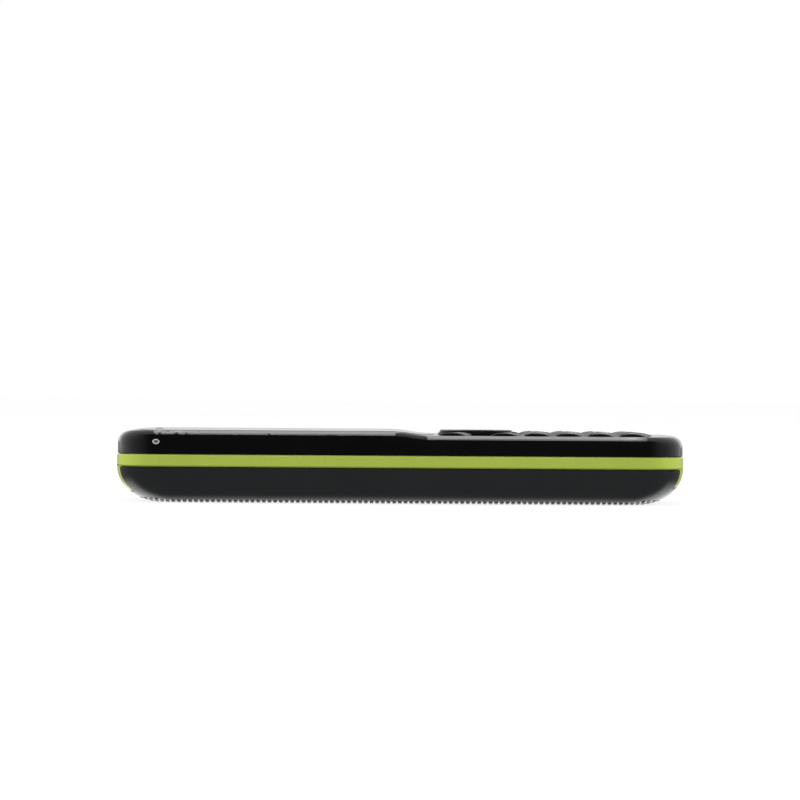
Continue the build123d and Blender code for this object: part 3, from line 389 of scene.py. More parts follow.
# %% Inner plastics
finishes["black_plastic"] = make_plastic(
    "matt black insert",
    ((0.012, 0.012, 0.013), (0.018, 0.018, 0.019)),
    (0.45, 0.6),
    grain=(4200.0, 0.006),
)
finishes["white_plastic"] = make_plastic(
    "natural white support",
    ((0.72, 0.71, 0.67), (0.62, 0.61, 0.57)),
    (0.4, 0.52),
    grain=(3800.0, 0.006),
    Subsurface_Weight=0.08,
    Subsurface_Radius=(0.001, 0.001, 0.0008),
)
finishes["rubber_grey"] = make_plastic(
    "silicone rubber",
    ((0.19, 0.20, 0.21), (0.15, 0.16, 0.17)),
    (0.55, 0.7),
    grain=(3000.0, 0.008),
)
finishes["card_white"] = make_plastic(
    "card plastic",
    ((0.82, 0.82, 0.80), (0.74, 0.75, 0.74)),
    (0.3, 0.4),
    grain=(5000.0, 0.002),
)

# %% Foam with open pores
material, tree, shader = start_finish("die-cut foam", Roughness=0.9)
add_colour(tree, shader, ((0.022, 0.022, 0.024), (0.05, 0.05, 0.052)), 900.0)
pores = add_node(tree, "TexVoronoi", Vector=own_place(tree), Scale=3600.0)
add_bump(tree, shader, pores.outputs["Distance"], 0.12)
finishes["foam"] = material

# %% [markdown]
# ### Metals
#
# Stamped shields keep the lines of the rolled sheet. The strap ring looks pale in the
# picture, which polished metal wouldn't in a dark room, so it is a silver lacquer: part
# metal, part pale paint. Contacts are gold with the scuffs of sliding.

# %% Metal finishes
METAL_DRIFT = 300.0
METAL_PATCHES = 400.0


def make_metal(name, shades, rough, density, depth, metallic=1.0):
    """Rolled or plated metal with fine lines along the phone."""
    material, tree, shader = start_finish(name, Metallic=metallic)
    add_colour(tree, shader, shades, METAL_DRIFT)
    add_gloss(tree, shader, rough, METAL_PATCHES)
    add_bump(tree, shader, place_group(tree, lines_group, Line_Density=density), depth)
    return material


finishes["steel"] = make_metal(
    "rolled steel", ((0.55, 0.55, 0.54), (0.46, 0.46, 0.46)), (0.28, 0.42), 9000.0, 0.004
)
finishes["bright_metal"] = make_metal(
    "silvered strap ring",
    ((0.92, 0.92, 0.91), (0.84, 0.84, 0.84)),
    (0.3, 0.42),
    14000.0,
    0.001,
    metallic=0.3,
)
finishes["gold_contact"] = make_metal(
    "gold contact", ((0.92, 0.68, 0.28), (0.80, 0.55, 0.20)), (0.2, 0.4), 12000.0, 0.003
)

# %% [markdown]
# ### Circuit board and battery film
#
# A board is green lacquer over copper: where tracks run, the lacquer is a little lighter
# and higher. A brick texture at track pitch gives straight runs with gaps between them.
# The battery has a wrap of grey film with a slightly wavy surface.

# %% Board finish
material, tree, shader = start_finish("lacquered board", Roughness=0.32, Coat_Weight=0.3)
tracks = add_node(
    tree,
    "TexBrick",
    Vector=own_place(tree),
    Scale=260.0,
    Mortar_Size=0.035,
    Brick_Width=1.7,
    Row_Height=0.24,
    Color1=(0.008, 0.085, 0.032, 1),
    Color2=(0.006, 0.070, 0.026, 1),
    Mortar=(0.018, 0.15, 0.055, 1),
)
fill(tree, shader, Base_Color=tracks.outputs["Color"])
add_bump(tree, shader, tracks.outputs["Fac"], 0.02)
finishes["board_green"] = material

# %% Battery film
finishes["battery_film"] = make_plastic(
    "battery wrap",
    ((0.10, 0.105, 0.11), (0.075, 0.08, 0.085)),
    (0.3, 0.45),
    grain=(600.0, 0.03),
    drift_scale=120.0,
)

# %% [markdown]
# ### Window, display glass and clear film
#
# The window is clear moulded acrylic, so its shader transmits. Its Metallic and
# Transmission Weight stay plain, and only its gloss and a very faint ripple change over it.
# The display below is switched off: dark glass with a fine cell pattern.

# %% Clear and dark glass
material, tree, shader = start_finish(
    "clear window", Base_Color=(0.97, 0.98, 0.98, 1), Transmission_Weight=1.0, IOR=1.49
)
add_gloss(tree, shader, (0.01, 0.035), 70.0)
add_bump(tree, shader, place_group(tree, grain_group, Scale=350.0), 0.0004)
finishes["window_clear"] = material

material, tree, shader = start_finish("display glass", Roughness=0.12, IOR=1.52)
cells = add_node(
    tree,
    "TexChecker",
    Vector=own_place(tree),
    Scale=5000.0,
    Color1=(0.010, 0.012, 0.014, 1),
    Color2=(0.014, 0.016, 0.018, 1),
)
fill(tree, shader, Base_Color=cells.outputs["Color"])
add_gloss(tree, shader, (0.08, 0.14), 120.0)
finishes["display_dark"] = material

material, tree, shader = start_finish(
    "clear film", Base_Color=(0.93, 0.94, 0.92, 1), Transmission_Weight=0.85, IOR=1.5
)
add_gloss(tree, shader, (0.15, 0.3), 300.0)
finishes["film_clear"] = material

# %% [markdown]
# ### Put the finishes on the frame's own pieces
#
# Each solid arrived with a material slot that has a plain name. The slot is kept and only
# the material in it is exchanged, so the solids themselves stay untouched.

# %% Dress the solids
dressed = 0
for node in nodes.values():
    for slot in node.material_slots:
        slot_name = slot.material.name.split(".")[0]
        slot.material = finishes[slot_name]
        dressed += 1
print("dressed", dressed, "slots on", len(nodes), "solids")

# %% [markdown]
# ## The battery cover
#
# The cover is a thin painted shell. Its middle is sunk by a quarter of a millimetre, and
# thousands of small soft-cornered pads stand in the sunk part, up to the level of the
# smooth rim. It could be sculpted, but a formula is exact: the shell is drawn in from the
# band by a quarter ellipse, deeper at the short ends than at the long sides. Rings of
# points follow it, once for the outer face and once, a wall further in, for the inner one.

# %% The cover's plan at any height
HALF_LENGTH = 52.0
HALF_WIDTH = 22.5
END_BOW = 1.8
CORNER = 6.5
LOWER_CORNER = 4.0
END_CURVE = 7.6
SIDE_CURVE = 5.0
BAND_BOTTOM = 6.55
COVER_TOP = 6.4
COVER_WALL = 1.2


def plan_at(turn, wall=0.0):
    """Height and plan sizes where the quarter ellipse has turned by an angle."""
    inward = 1 - math.cos(turn)
    end_inset = wall + (END_CURVE - wall) * inward
    side_inset = wall + (SIDE_CURVE - wall) * inward
    corner = CORNER - wall + (LOWER_CORNER - CORNER) * inward
    height = wall + (BAND_BOTTOM - wall) * (1 - math.sin(turn))
    side = HALF_WIDTH - side_inset
    tip = HALF_LENGTH - end_inset
    bow = (side**2 + END_BOW**2) / (2 * END_BOW)
    centre = tip - bow
    corner_y = side - corner
    corner_x = centre + math.sqrt((bow - corner) ** 2 - corner_y**2)
    meet = math.atan2(corner_y, corner_x - centre)
    return dict(
        height=height, side=side, bow=bow, centre=centre, corner=corner,
        corner_x=corner_x, corner_y=corner_y, meet=meet,
    )


# %% [markdown]
# A ring goes once round the plan: a bowed end, a corner, a long side, and the same again.
# Every ring has the same count of points, so neighbouring rings join into four-sided faces.

# %% Rings of points
END_STEPS = 60
CORNER_STEPS = 16
SIDE_STEPS = 30


def quarter_ring(plan):
    """Points from the middle of one end to the middle of one long side."""
    x, y = plan["corner_x"], plan["corner_y"]
    end = arc((plan["centre"], 0.0), plan["bow"], 0.0, plan["meet"], END_STEPS)
    corner = arc((x, y), plan["corner"], plan["meet"], math.pi / 2, CORNER_STEPS)
    side = [(x * (1 - step / SIDE_STEPS), plan["side"]) for step in range(SIDE_STEPS + 1)]
    return end[:-1] + corner[:-1] + side


def full_ring(quarter):
    """The quarter and its three mirror images as one closed ring."""
    ring = quarter[:-1]
    ring += [(-x, y) for x, y in reversed(quarter)][:-1]
    ring += [(-x, -y) for x, y in quarter][:-1]
    ring += [(x, -y) for x, y in reversed(quarter)][:-1]
    return ring


def ring_with_turns(turns, wall):
    """A ring whose height may change round the phone, one turn for each point."""
    ring = []
    cache = {}
    for index, turn in enumerate(turns):
        key = round(turn, 4)
        if key not in cache:
            plan = plan_at(key, wall)
            cache[key] = (full_ring(quarter_ring(plan)), plan["height"])
        points, height = cache[key]
        ring.append((*points[index], height))
    return ring


top_ring = full_ring(quarter_ring(plan_at(0.0)))
RING_COUNT = len(top_ring)
print("points in a ring:", RING_COUNT)

# %% [markdown]
# The sunk part has an edge that runs low along the long sides and round the corners, and
# climbs at the middle of each end to just under the lime panel. Its height is a small
# function of where the point is, with soft steps between the stretches.

# %% The edge of the sunk part
PANEL_HALF = 18.15
PANEL_BOTTOMS = {-1: 1.9, 1: 3.1}
PANEL_MARGIN = 0.08
SIDE_EDGE = 0.62
CORNER_EDGE = 0.95
PANEL_TO_CORNER = (12.0, 17.0)
SIDE_TO_END = (44.0, 49.0)


def soft_step(value, low, high):
    """0 below low, 1 above high, and a smooth rise between."""
    share = min(max((value - low) / (high - low), 0.0), 1.0)
    return share * share * (3 - 2 * share)


def edge_height(x, y):
    """Height of the sunk part's edge for a point on the cover's rim."""
    end = -1 if x < 0 else 1
    under_panel = PANEL_BOTTOMS[end] - PANEL_MARGIN
    beside = soft_step(abs(y), *PANEL_TO_CORNER)
    at_end = under_panel + (CORNER_EDGE - under_panel) * beside
    along = soft_step(abs(x), *SIDE_TO_END)
    return SIDE_EDGE + (at_end - SIDE_EDGE) * along


def turn_for_height(height, wall=0.0):
    """The turn of the quarter ellipse at a height."""
    return math.asin(1 - (height - wall) / (BAND_BOTTOM - wall))


edge_heights = [edge_height(x, y) for x, y in top_ring]
edge_turns = [turn_for_height(height) for height in edge_heights]
print("edge of the sunk part in mm:", round(min(edge_heights), 2), round(max(edge_heights), 2))

# %% [markdown]
# Now the shell itself. The rings run down the smooth outer face, step in at the edge, run
# on to the flat underside, and come back up on the inner face. The last rings of both faces
# are closed with one flat face each.

# %% Build the shell
PAD_DEPTH = 0.25
STEP_TURN = 0.012
SMOOTH_RINGS = 12
SUNK_RINGS = 10
INNER_RINGS = 10


def blend_turns(first, last, share):
    """Turns part of the way from one list to another."""
    return [low + (high - low) * share for low, high in zip(first, last)]


def cover_rings():
    """All rings of the shell, from the outer rim over the underside to the inner rim."""
    rim = [turn_for_height(COVER_TOP)] * RING_COUNT
    flat = [math.pi / 2] * RING_COUNT
    rings = []
    for step in range(SMOOTH_RINGS + 1):
        rings.append(ring_with_turns(blend_turns(rim, edge_turns, step / SMOOTH_RINGS), 0.0))
    sunk_edge = [turn + STEP_TURN for turn in edge_turns]
    for step in range(SUNK_RINGS + 1):
        turns = blend_turns(sunk_edge, flat, step / SUNK_RINGS)
        rings.append(ring_with_turns(turns, PAD_DEPTH))
    under = len(rings)
    inner_rim = [turn_for_height(COVER_TOP, COVER_WALL)] * RING_COUNT
    for step in range(INNER_RINGS + 1):
        turns = blend_turns(flat, inner_rim, step / INNER_RINGS)
        rings.append(ring_with_turns(turns, COVER_WALL))
    return rings, under


def shell_mesh(rings, under):
    """Points and faces of a closed shell from its rings."""
    points = [point for ring in rings for point in ring]
    faces = []
    for row in range(len(rings)):
        if row == under - 1:
            continue
        low = row * RING_COUNT
        high = (row + 1) % len(rings) * RING_COUNT
        for index in range(RING_COUNT):
            nearby = (index + 1) % RING_COUNT
            faces.append((low + index, low + nearby, high + nearby, high + index))
    faces.append([(under - 1) * RING_COUNT + index for index in range(RING_COUNT)])
    faces.append([under * RING_COUNT + index for index in reversed(range(RING_COUNT))])
    return points, [tuple(reversed(face)) for face in faces]


rings, under = cover_rings()
shell_points, shell_faces = shell_mesh(rings, under)
cover = make_piece("cover_shell", shell_points, shell_faces, finishes["slate_cover"])
print("shell:", len(shell_points), "points,", len(shell_faces), "faces")

# %% [markdown]
# The cover has a notch at each end for the frame's lime panel, and five sound slots over
# the loudspeaker. All are cut by one set of closed cutters with a Boolean modifier, which
# is then applied. The same cuts by hand would mean splitting hundreds of faces.

# %% Cut the notches and sound slots
PANEL_REACH = 4.15
SPEAKER_X = -39.8
SPEAKER_Y = 9.0
SLOT_COUNT = 5
SLOT_PITCH = 1.9
SLOT_WIDTH = 0.9
SLOT_LENGTH = 7.0
CUT_PAST = 1.0


def prism(outline, low, high):
    """Points and faces of a closed upright prism over a plan."""
    count = len(outline)
    points = [(x, y, level) for level in (low, high) for x, y in outline]
    faces = [tuple(reversed(range(count))), tuple(range(count, 2 * count))]
    return points, faces + side_faces(1, count)


def slot_plan(x, y):
    """The plan of a slot with round ends, along the phone."""
    radius = SLOT_WIDTH / 2
    reach = SLOT_LENGTH / 2 - radius
    quarter = math.pi / 2
    plan = arc((x + reach, y), radius, -quarter, quarter, 8)
    return plan + arc((x - reach, y), radius, quarter, 3 * quarter, 8)


def joined(parts):
    """Several closed bodies as one list of points and one of faces."""
    points = []
    faces = []
    for part_points, part_faces in parts:
        start = len(points)
        points += part_points
        faces += [tuple(start + index for index in face) for face in part_faces]
    return points, faces


cutters = []
for end, bottom in PANEL_BOTTOMS.items():
    reach = (HALF_LENGTH - PANEL_REACH, HALF_LENGTH + CUT_PAST)
    left, right = sorted(end * x for x in reach)
    low, high = -PANEL_HALF, PANEL_HALF
    plan = [(left, low), (right, low), (right, high), (left, high)]
    cutters.append(prism(plan, bottom, COVER_TOP + CUT_PAST))
slot_places = []
for index in range(SLOT_COUNT):
    y = SPEAKER_Y + (index - (SLOT_COUNT - 1) / 2) * SLOT_PITCH
    slot_places.append((SPEAKER_X, y))
    cutters.append(prism(slot_plan(SPEAKER_X, y), -CUT_PAST, COVER_WALL + CUT_PAST))
cutter = make_piece("cover_cutters", *joined(cutters), finishes["slate_cover"])


def cut(piece, tool):
    """Takes the tool's body out of the piece and removes the tool."""
    modifier = piece.modifiers.new("cut", "BOOLEAN")
    modifier.operation = "DIFFERENCE"
    modifier.solver = "EXACT"
    modifier.object = tool
    view_layer = bpy.context.evaluated_depsgraph_get()
    mesh = bpy.data.meshes.new_from_object(piece.evaluated_get(view_layer))
    piece.modifiers.clear()
    piece.data = mesh
    bpy.data.objects.remove(tool)


cut(cover, cutter)
print("cover after the cuts:", len(cover.data.vertices), "points")

# %% [markdown]
# Six catch tabs stand up from the cover's rim and snap behind the frame. They are small
# blocks with softened edges, joined into the same piece.

# %% Add the catch tabs
TAB_PITCH = 30.0
TAB_HALF_LENGTH = 2.5
TAB_SIDES = (20.8, 21.5)
TAB_HEIGHTS = (5.75, 7.45)
TAB_ROUND = 0.12


def soft_block(low, high, radius):
    """Points and faces of a box whose edges are cut back by a small radius."""
    block = bmesh.new()
    bmesh.ops.create_cube(block, size=1.0)
    for vertex in block.verts:
        for axis in range(3):
            middle = (low[axis] + high[axis]) / 2
            vertex.co[axis] = middle + vertex.co[axis] * (high[axis] - low[axis])
    bmesh.ops.bevel(block, geom=block.edges[:], offset=radius, segments=2, affect="EDGES")
    block.verts.index_update()
    points = [tuple(vertex.co) for vertex in block.verts]
    faces = [tuple(vertex.index for vertex in face.verts) for face in block.faces]
    block.free()
    return points, faces


tabs = []
for x in (-TAB_PITCH, 0.0, TAB_PITCH):
    for side in (-1, 1):
        y_low, y_high = sorted(side * y for y in TAB_SIDES)
        low = (x - TAB_HALF_LENGTH, y_low, TAB_HEIGHTS[0])
        high = (x + TAB_HALF_LENGTH, y_high, TAB_HEIGHTS[1])
        tabs.append(soft_block(low, high, TAB_ROUND))
tab_points, tab_faces = joined(tabs)
shell = bmesh.new()
shell.from_mesh(cover.data)
tab_verts = [shell.verts.new(point) for point in in_metres(tab_points)]
for face in tab_faces:
    shell.faces.new([tab_verts[index] for index in face])
shell.to_mesh(cover.data)
shell.free()
smooth_but_crisp(cover.data, 35)
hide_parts("back_cover")
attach(cover, "cover")
print("tabs on the rim:", len(tabs))

# %% [markdown]
# ## The pads under the cover
#
# The pads keep one even pitch in plan, so on the curved ends they seem to stretch down the
# slope, as on the real cover. An array modifier can't follow the curve, so each pad is
# placed by code: the cover's formula gives the height and the slope above every plan point,
# and a small eight-sided pad is built on it along the surface normal.

# %% Height of the cover over a plan point
def outside_by(plan, x, y):
    """How far a plan point lies outside a ring, negative inside."""
    x = abs(x)
    y = abs(y)
    from_corner = Vector((x - plan["corner_x"], y - plan["corner_y"]))
    past_end = math.atan2(y, x - plan["centre"]) > plan["meet"]
    if from_corner.x > 0 and from_corner.y > 0 and past_end:
        return from_corner.length - plan["corner"]
    if past_end and from_corner.x <= 0:
        return y - plan["side"]
    return math.hypot(x - plan["centre"], y) - plan["bow"]


TURN_STEPS = 96
SLOPE_REACH = 0.05
PLANS = [plan_at(math.pi / 2 * step / TURN_STEPS) for step in range(TURN_STEPS + 1)]


def cover_height(x, y):
    """Height of the smooth outer face over a plan point, or None outside the cover."""
    if outside_by(PLANS[-1], x, y) <= 0:
        return 0.0
    if outside_by(PLANS[0], x, y) > 0:
        return None
    low, high = 0, TURN_STEPS
    while high - low > 1:
        middle = (low + high) // 2
        if outside_by(PLANS[middle], x, y) > 0:
            high = middle
        else:
            low = middle
    inside = outside_by(PLANS[low], x, y)
    outside = outside_by(PLANS[high], x, y)
    share = -inside / (outside - inside)
    turn = math.pi / 2 * (low + share) / TURN_STEPS
    return BAND_BOTTOM * (1 - math.sin(turn))


def outward_normal(x, y):
    """The direction straight out of the cover over a plan point."""
    reach = SLOPE_REACH
    heights = [
        cover_height(x + dx, y + dy)
        for dx, dy in ((reach, 0), (-reach, 0), (0, reach), (0, -reach))
    ]
    if None in heights:
        return None
    slope_x = (heights[0] - heights[1]) / (2 * reach)
    slope_y = (heights[2] - heights[3]) / (2 * reach)
    return Vector((slope_x, slope_y, -1.0)).normalized()


# %% [markdown]
# One pad is a stack of three eight-sided rings: its foot below the sunk face, its shoulder
# and its smaller tip. The tips end just inside the smooth envelope, so the phone rests on
# them and the outline stays that of the smooth cover.

# %% Build the pads
PAD_PITCH = 1.025
PAD_SIDES = 8
PAD_HALF = 0.40
PAD_CORNER = 0.14
PAD_LEVELS = ((-0.36, 1.0), (-0.09, 0.82), (-0.006, 0.55))
PAD_FROM_EDGE = 0.42
PAD_FROM_SLOT = 0.4


def pad_ring(scale):
    """Eight plan points of a square with cut corners."""
    outer = PAD_HALF * scale
    inner = outer - PAD_CORNER
    quarter = [(outer, inner), (inner, outer), (-inner, outer), (-outer, inner)]
    return quarter + [(-x, -y) for x, y in quarter]


def make_pad(tip, normal):
    """Points and faces of one pad on the cover."""
    along = (Vector((1, 0, 0)) - normal * normal.x).normalized()
    across = normal.cross(along)
    points = []
    for level, scale in PAD_LEVELS:
        for u, v in pad_ring(scale):
            points.append(tuple(tip + normal * level + along * u + across * v))
    foot = range(PAD_SIDES)
    tip_ring = range(2 * PAD_SIDES, 3 * PAD_SIDES)
    return points, [tuple(reversed(foot)), tuple(tip_ring)] + side_faces(2, PAD_SIDES)


def clear_of_slots(x, y):
    """True where a pad stays off the sound slots."""
    reach_x = SLOT_LENGTH / 2 + PAD_FROM_SLOT
    reach_y = SLOT_WIDTH / 2 + PAD_FROM_SLOT
    return not any(abs(x - a) < reach_x and abs(y - b) < reach_y for a, b in slot_places)


def rim_point(x, y, height):
    """The plan point carried out to the cover's rim, to look up the sunk part's edge."""
    inward = 1 - math.cos(turn_for_height(min(height, COVER_TOP)))
    return (
        x + math.copysign(END_CURVE * inward, x),
        y + math.copysign(SIDE_CURVE * inward, y),
    )


def pad_fits(x, y):
    """The pad's height and normal, or None where the cover stays smooth."""
    height = cover_height(x, y)
    if height is None or not clear_of_slots(x, y):
        return None
    normal = outward_normal(x, y)
    if normal is None:
        return None
    room = PAD_FROM_EDGE * math.hypot(normal.x, normal.y)
    if height > edge_height(*rim_point(x, y, height)) - room:
        return None
    return height, normal


pads = []
rows_along = int(HALF_LENGTH / PAD_PITCH) + 1
rows_across = int(HALF_WIDTH / PAD_PITCH) + 1
for i in range(-rows_along, rows_along + 1):
    for j in range(-rows_across, rows_across + 1):
        x = i * PAD_PITCH
        y = j * PAD_PITCH
        found = pad_fits(x, y)
        if found:
            height, normal = found
            pads.append(make_pad(Vector((x, y, height)), normal))
pad_points, pad_faces = joined(pads)
cover_pads = make_piece("cover_pads", pad_points, pad_faces, finishes["slate_cover"], 50)
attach(cover_pads, "cover")
print("pads:", len(pads), "with", len(pad_faces), "faces")

# %% [markdown]
# ## The strap pin
#
# The oval hole near the display end takes a wrist strap. A short pin stands across it a
# little behind the wall, for the loop to hold on, and its metal shows in the hole. A
# cylinder with tapered ends is turned from rings, as on a lathe.

# %% Turn the strap pin
PIN_X = -44.0
PIN_Y = -21.75
PIN_MIDDLE = 11.05
PIN_PROFILE = ((-0.75, 0.10), (-0.62, 0.26), (0.62, 0.26), (0.75, 0.10))
PIN_SIDES = 20

pin_points = []
for level, radius in PIN_PROFILE:
    ring = arc((PIN_Y, PIN_MIDDLE), radius, 0.0, 2 * math.pi, PIN_SIDES)[:-1]
    pin_points += [(PIN_X + level, y, z) for y, z in ring]
pin_faces = [tuple(range(PIN_SIDES)), tuple(reversed(range(3 * PIN_SIDES, 4 * PIN_SIDES)))]
pin_faces += [(b, a, d, c) for a, b, c, d in side_faces(3, PIN_SIDES)]
strap_pin = make_piece("strap_pin", pin_points, pin_faces, finishes["steel"])
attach(strap_pin, "phone_body")

# %% [markdown]
# ## Printed key marks
#
# Each of the twelve keys has its figure or sign, and 2 to 9 have the small letters that
# keypads share. The print could be an image, but thin raised shapes stay sharp and go into
# every export. Text objects become meshes, are turned to read from the keypad end, are
# sliced into narrow strips and are laid on the key's crown by its formula, less than a
# hundredth of a millimetre proud.

# %% The crown of a key
ROW_ARC = 90.0
KEY_CROWN = 6.5
KEY_TOP = 12.95
LEGEND_LIFT = 0.008
LEGEND_DEPTH = 0.05


def crown_height(row_x, x, y):
    """Height of a key's crowned top at a plan point."""
    from_arc = math.hypot(x - (row_x - ROW_ARC), y) - ROW_ARC
    return KEY_TOP - KEY_CROWN + math.sqrt(KEY_CROWN**2 - from_arc**2)


def row_shift(y):
    """How far a key row bends towards the display at a distance from the middle."""
    return ROW_ARC - math.sqrt(ROW_ARC**2 - y**2)


# %% A print ink for the marks
def make_ink(name, shades):
    """Printed ink: flat colour that varies a little, half gloss."""
    return make_plastic(name, shades, (0.35, 0.5), grain=(6000.0, 0.002), drift_scale=500.0)


white_ink = make_ink("white key print", ((0.80, 0.82, 0.84), (0.70, 0.72, 0.74)))
green_ink = make_ink("green key print", ((0.05, 0.55, 0.08), (0.04, 0.45, 0.06)))
red_ink = make_ink("red key print", ((0.62, 0.03, 0.02), (0.50, 0.02, 0.015)))

# %% [markdown]
# A mark starts as flat faces around the origin, in millimetres, with x to the reader's right
# and y up. The reader sits at the keypad end, so right is +Y on the phone and up is -X.

# %% Flat shapes of the marks
FONT_SIZE = 1.38


def text_shape(words, height, spacing=1.0):
    """A flat mesh of the words in the built-in font, centred."""
    curve = bpy.data.curves.new("mark", "FONT")
    curve.body = words
    curve.size = height * FONT_SIZE
    curve.space_character = spacing
    curve.align_x = "CENTER"
    curve.align_y = "CENTER"
    curve.resolution_u = 4
    holder = bpy.data.objects.new("mark", curve)
    bpy.context.scene.collection.objects.link(holder)
    view_layer = bpy.context.evaluated_depsgraph_get()
    mesh = bpy.data.meshes.new_from_object(holder.evaluated_get(view_layer))
    shape = bmesh.new()
    shape.from_mesh(mesh)
    bpy.data.objects.remove(holder)
    bpy.data.curves.remove(curve)
    bpy.data.meshes.remove(mesh)
    return shape


# %% Lay a mark on a key
STRIP = 0.3
WELD = 0.0005


def lay_on_key(name, shape, row_x, y, ink, body):
    """Turns, slices and lays a flat mark on a key's crown, and gives it a little thickness."""
    bmesh.ops.remove_doubles(shape, verts=shape.verts[:], dist=WELD)
    for vertex in shape.verts:
        right, up = vertex.co.x, vertex.co.y
        vertex.co = Vector((row_x - row_shift(y) - up, y + right, 0))
    low = min(vertex.co.x for vertex in shape.verts)
    high = max(vertex.co.x for vertex in shape.verts)
    for index in range(1, int((high - low) / STRIP) + 1):
        bmesh.ops.bisect_plane(
            shape,
            geom=shape.verts[:] + shape.edges[:] + shape.faces[:],
            plane_co=(low + index * STRIP, 0, 0),
            plane_no=(1, 0, 0),
        )
    bmesh.ops.triangulate(shape, faces=shape.faces[:])
    shape.normal_update()
    bmesh.ops.reverse_faces(shape, faces=[face for face in shape.faces if face.normal.z < 0])
    grown = bmesh.ops.extrude_face_region(shape, geom=shape.faces[:], use_keep_orig=True)
    lifted = {item for item in grown["geom"] if isinstance(item, bmesh.types.BMVert)}
    for vertex in shape.verts:
        level = crown_height(row_x, vertex.co.x, vertex.co.y)
        vertex.co.z = level + (LEGEND_LIFT if vertex in lifted else -LEGEND_DEPTH)
    bmesh.ops.recalc_face_normals(shape, faces=shape.faces[:])
    for vertex in shape.verts:
        vertex.co *= MM
    mesh = bpy.data.meshes.new(name)
    shape.to_mesh(mesh)
    shape.free()
    mesh.materials.append(ink)
    mark = bpy.data.objects.new(name, mesh)
    bpy.context.scene.collection.objects.link(mark)
    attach(mark, body)


# %% Print the number keys
FIRST_ROW_X = 26.5
ROW_PITCH = 5.75
COLUMN_STEP = 13.07
FIGURE_HEIGHT = 2.5
STAR_HEIGHT = 3.0
LETTER_HEIGHT = 1.25
LETTER_SPACING = 1.05
FIGURE_SHIFT = -2.2
LETTER_SHIFT = 2.1
SIGNS = {"star": "*", "hash": "#"}
KEY_LETTERS = (
    ("1", ""),
    ("2", "ABC"),
    ("3", "DEF"),
    ("4", "GHI"),
    ("5", "JKL"),
    ("6", "MNO"),
    ("7", "PQRS"),
    ("8", "TUV"),
    ("9", "WXYZ"),
    ("star", "+"),
    ("0", ""),
    ("hash", ""),
)
for index, (key, letters) in enumerate(KEY_LETTERS):
    row_x = FIRST_ROW_X + ROW_PITCH * (index // 3)
    key_y = COLUMN_STEP * (index % 3 - 1)
    body = "key_" + key + "_press"
    shape = text_shape(SIGNS.get(key, key), STAR_HEIGHT if key == "star" else FIGURE_HEIGHT)
    figure_y = key_y + FIGURE_SHIFT if letters else key_y
    lay_on_key("print_" + key, shape, row_x, figure_y, white_ink, body)
    if letters:
        shape = text_shape(letters, LETTER_HEIGHT, LETTER_SPACING)
        name = "print_letters_" + key
        lay_on_key(name, shape, row_x, key_y + LETTER_SHIFT, white_ink, body)
print("keys with marks:", len(KEY_LETTERS))

# %% [markdown]
# The two keys below the soft keys carry the marks that such phones have: a handset
# shape in green for calling and in red for ending a call. The handset is an arc with a pad
# at each end, drawn as one outline. The soft keys stay plain.

# %% Print the side keys
ARC_MIDDLE = (0.0, -1.1)
BACK_RADIUS = 1.75
GRIP_RADIUS = 1.2
EAR_PAD = [(1.95, -0.9), (1.0, -1.15), (0.95, -0.45)]
HANDSET_RISE = 0.4


def handset_shape():
    """A flat mesh of a telephone handset seen from the side, lying flat."""
    back = arc(ARC_MIDDLE, BACK_RADIUS, math.radians(160), math.radians(20), 12)
    grip = arc(ARC_MIDDLE, GRIP_RADIUS, math.radians(52), math.radians(128), 8)
    outline = back + EAR_PAD + grip + [(-x, y) for x, y in reversed(EAR_PAD)]
    shape = bmesh.new()
    shape.faces.new([shape.verts.new((x, y + HANDSET_RISE, 0)) for x, y in outline])
    return shape


CALL_ROW_X = 20.6
SIDE_KEY_Y = 14.45
SIDE_MARKS = (("call_key", -1, green_ink), ("end_key", 1, red_ink))
for key, side, ink in SIDE_MARKS:
    y = side * SIDE_KEY_Y
    lay_on_key("print_" + key, handset_shape(), CALL_ROW_X, y, ink, key + "_press")
print("side marks:", len(SIDE_MARKS))

# %% [markdown]
# ## The camera
#
# The photograph looks level at the long side: the seams are nearly straight lines, and
# the ends of the band curve up by less than two pixels. That sets a camera almost a metre
# away with a long lens, less than 20 mm above the middle of the phone. The window's top
# shows as a line two pixels high, which says the same. The camera tips down by a third of
# a degree and turns by a little more, because the display end sits higher in the picture.

# %% Place the camera
CAMERA_DISTANCE = 0.924
CAMERA_HEIGHT = 0.0242
CAMERA_SIDE = -0.0001
FOCAL_LENGTH = 225.4
TIP = 0.342
ROLL = 0.385
SENSOR_WIDTH = 36.0
CLIP_START = 0.01
CLIP_END = 20.0

camera_data = bpy.data.cameras.new("camera")
camera_data.lens = FOCAL_LENGTH
camera_data.sensor_width = SENSOR_WIDTH
camera_data.clip_start = CLIP_START
camera_data.clip_end = CLIP_END
camera = bpy.data.objects.new("camera", camera_data)
bpy.context.scene.collection.objects.link(camera)
tipped = Matrix.Rotation(math.radians(90 - TIP), 4, "X")
turned = tipped @ Matrix.Rotation(math.radians(ROLL), 4, "Z")
place = Matrix.Translation((CAMERA_SIDE, -CAMERA_DISTANCE, CAMERA_HEIGHT))
camera.matrix_world = place @ turned
bpy.context.scene.camera = camera
print("camera at", [round(value, 4) for value in camera.location])
